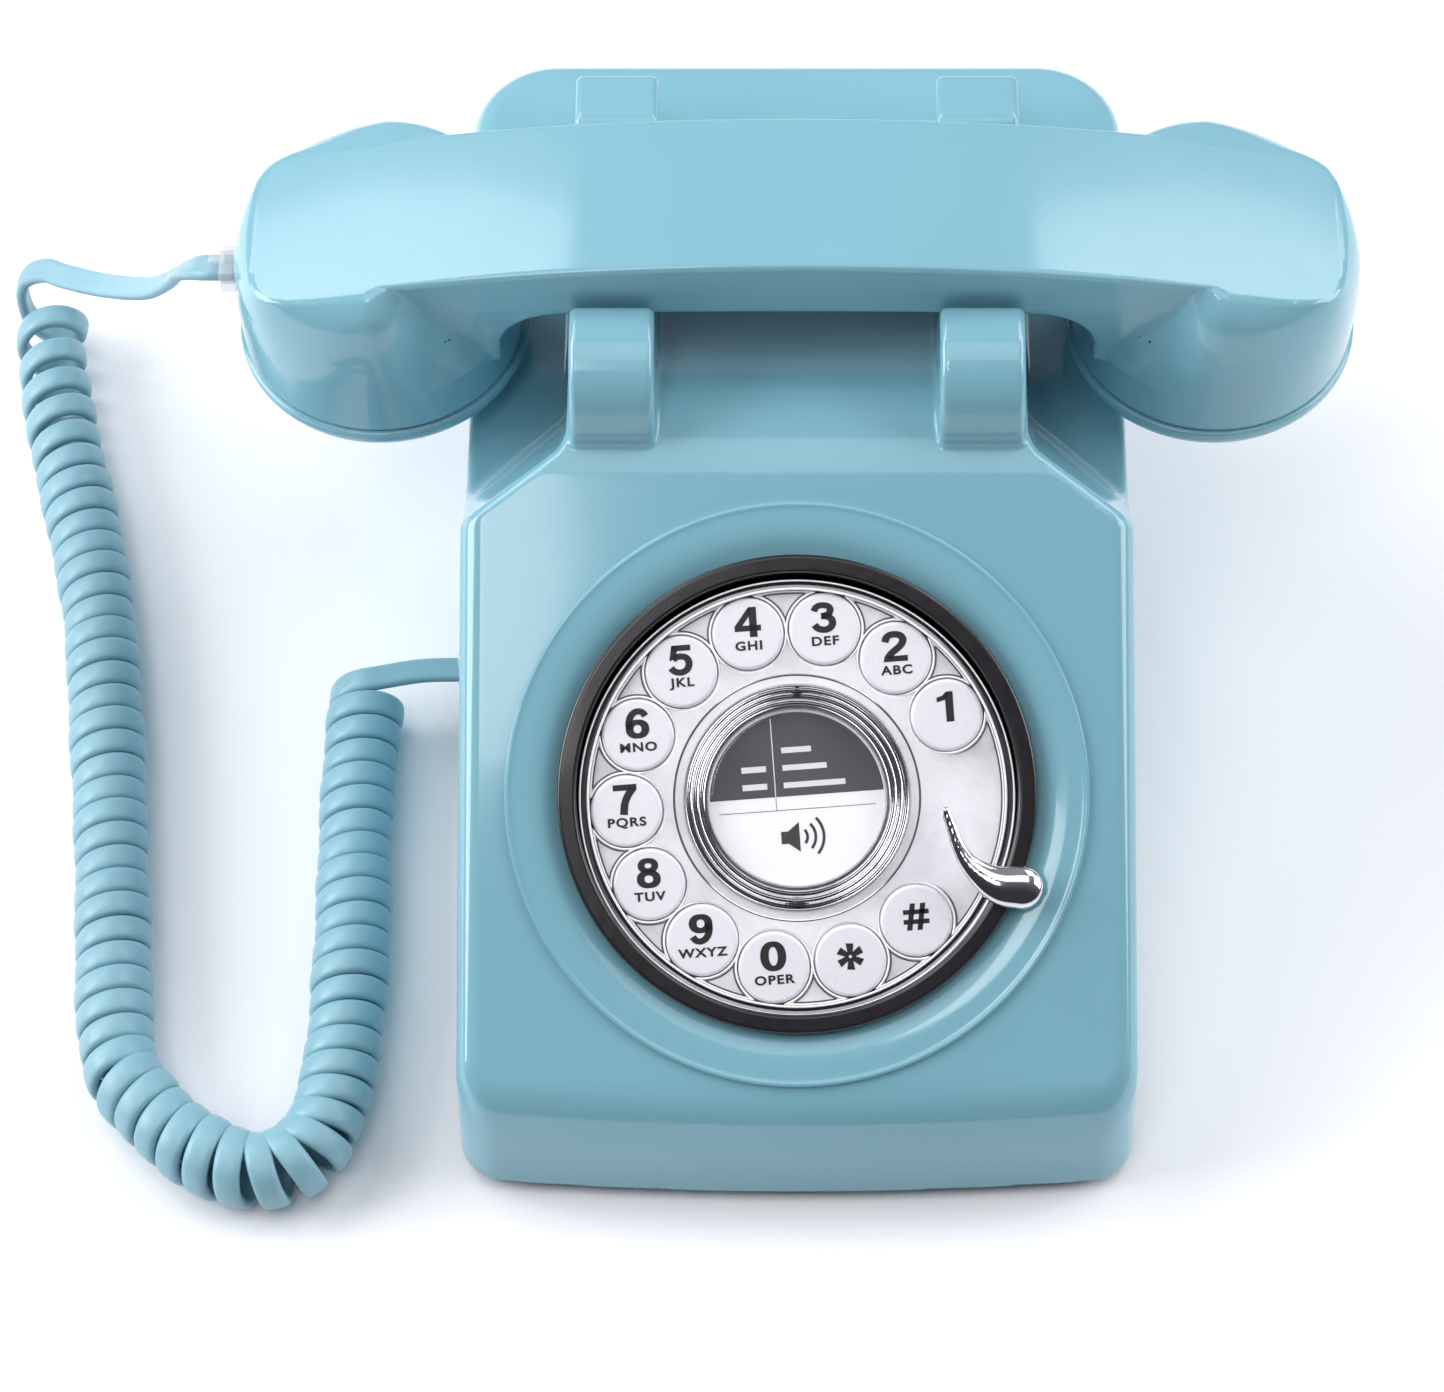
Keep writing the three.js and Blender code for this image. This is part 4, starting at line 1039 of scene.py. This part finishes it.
hand_plug = grown("handset_jack", plug_field(*HAND_PLUG), (-116.4, 47, 91), (-101.9, 55, 98.9), 0.35,
                  "handset", "clear_plastic", "handset_plug")
base_jack = grown("base_jack", plug_field(*BASE_PLUG), (-70.2, 4, 10.9), (-55.7, 12, 18.7), 0.35,
                  "base", "clear_plastic", "base_plug")
for plug in (hand_plug, base_jack):
    plug.data.materials[0] = PLUG
FOOT = fillet([(0, 0), (6.4, 0), (7, 0.7), (7, 2.9), (0, 2.9)], 0.4)
for i, (x, y) in enumerate(((-44, -72), (44, -72), (-44, 74), (44, 74))):
    turned(f"rubber_foot_{i + 1}", FOOT, (x, y, 0), "base", "dark_rubber", f"foot_{i + 1}", sides=48,
           on_dial=False)
for name, side in (("left", -1), ("right", 1)):
    turned("plunger_" + name, fillet([
        (0, 76.3), (4.4, 76.3), (4.4, 77.6), (3, 77.6), (3, 103.4), (2.1, 104.4), (0, 104.4),
    ], 0.5), (side * PLUNGER_X, PLUNGER_Y, 0), "hook_body", "dark_plastic", "hook_plunger_" + name, sides=40,
        on_dial=False)

make_cord()


# ---------- floor, world and light ----------
floor_mesh = bpy.data.meshes.new("floor")
floor_mesh.from_pydata([(-4, -4, 0), (4, -4, 0), (4, 4, 0), (-4, 4, 0)], [], [(0, 1, 2, 3)])
floor = link("floor", floor_mesh)
paper = Nodes("floor_paper")
floor_mesh.materials.append(paper.set(
    Base_Color=paper.blend(paper.noise(3.0, 2.0), linear(250, 250, 253), linear(246, 246, 250)),
    Roughness=0.9))

# the world is darker towards the front, which the casing's front wall mirrors
world = bpy.data.worlds.new("world")
bpy.context.scene.world = world
world.use_nodes = True
sky = world.node_tree
back = sky.nodes["Background"]
coord = sky.nodes.new("ShaderNodeTexCoord")
split = sky.nodes.new("ShaderNodeSeparateXYZ")
fade = sky.nodes.new("ShaderNodeMapRange")
fade.interpolation_type = "SMOOTHSTEP"
for socket, value in (("From Min", -0.75), ("From Max", 0.35), ("To Min", 0.05), ("To Max", 0.35)):
    fade.inputs[socket].default_value = value
sky.links.new(coord.outputs["Generated"], split.inputs[0])
sky.links.new(split.outputs["Y"], fade.inputs["Value"])
sky.links.new(fade.outputs[0], back.inputs[1])
back.inputs[0].default_value = (0.93, 0.94, 1.0, 1)

SOFTBOXES = (                      # size, watts, place, and the turn in degrees from facing down
    ("rear_left_softbox", (0.95, 0.75), 8.8, (-0.86, 0.70, 1.2), (0, 0, -17)),
    ("rear_right_softbox", (0.95, 0.75), 8.0, (0.88, 0.70, 1.2), (0, 0, 17)),
    ("top_softbox", (1.1, 0.5), 2.2, (0, -0.12, 1.25), (3, 0, 0)),
    ("left_softbox", (0.8, 0.9), 15.5, (-1.2, 0.05, 0.62), (0, -63, 0)),
    ("right_softbox", (0.8, 0.9), 10, (1.2, 0.1, 0.7), (0, 60, 0)),
    ("front_left_softbox", (0.36, 0.32), 1.9, (-0.28, -0.54, 1.2), (0, 0, 0)),
)
for name, size, power, place, turn in SOFTBOXES:
    lamp = bpy.data.lights.new(name, "AREA")
    lamp.shape = "RECTANGLE"
    lamp.size, lamp.size_y = size
    lamp.energy = power
    softbox = link(name, lamp)
    softbox.location = place
    softbox.rotation_euler = [math.radians(a) for a in turn]
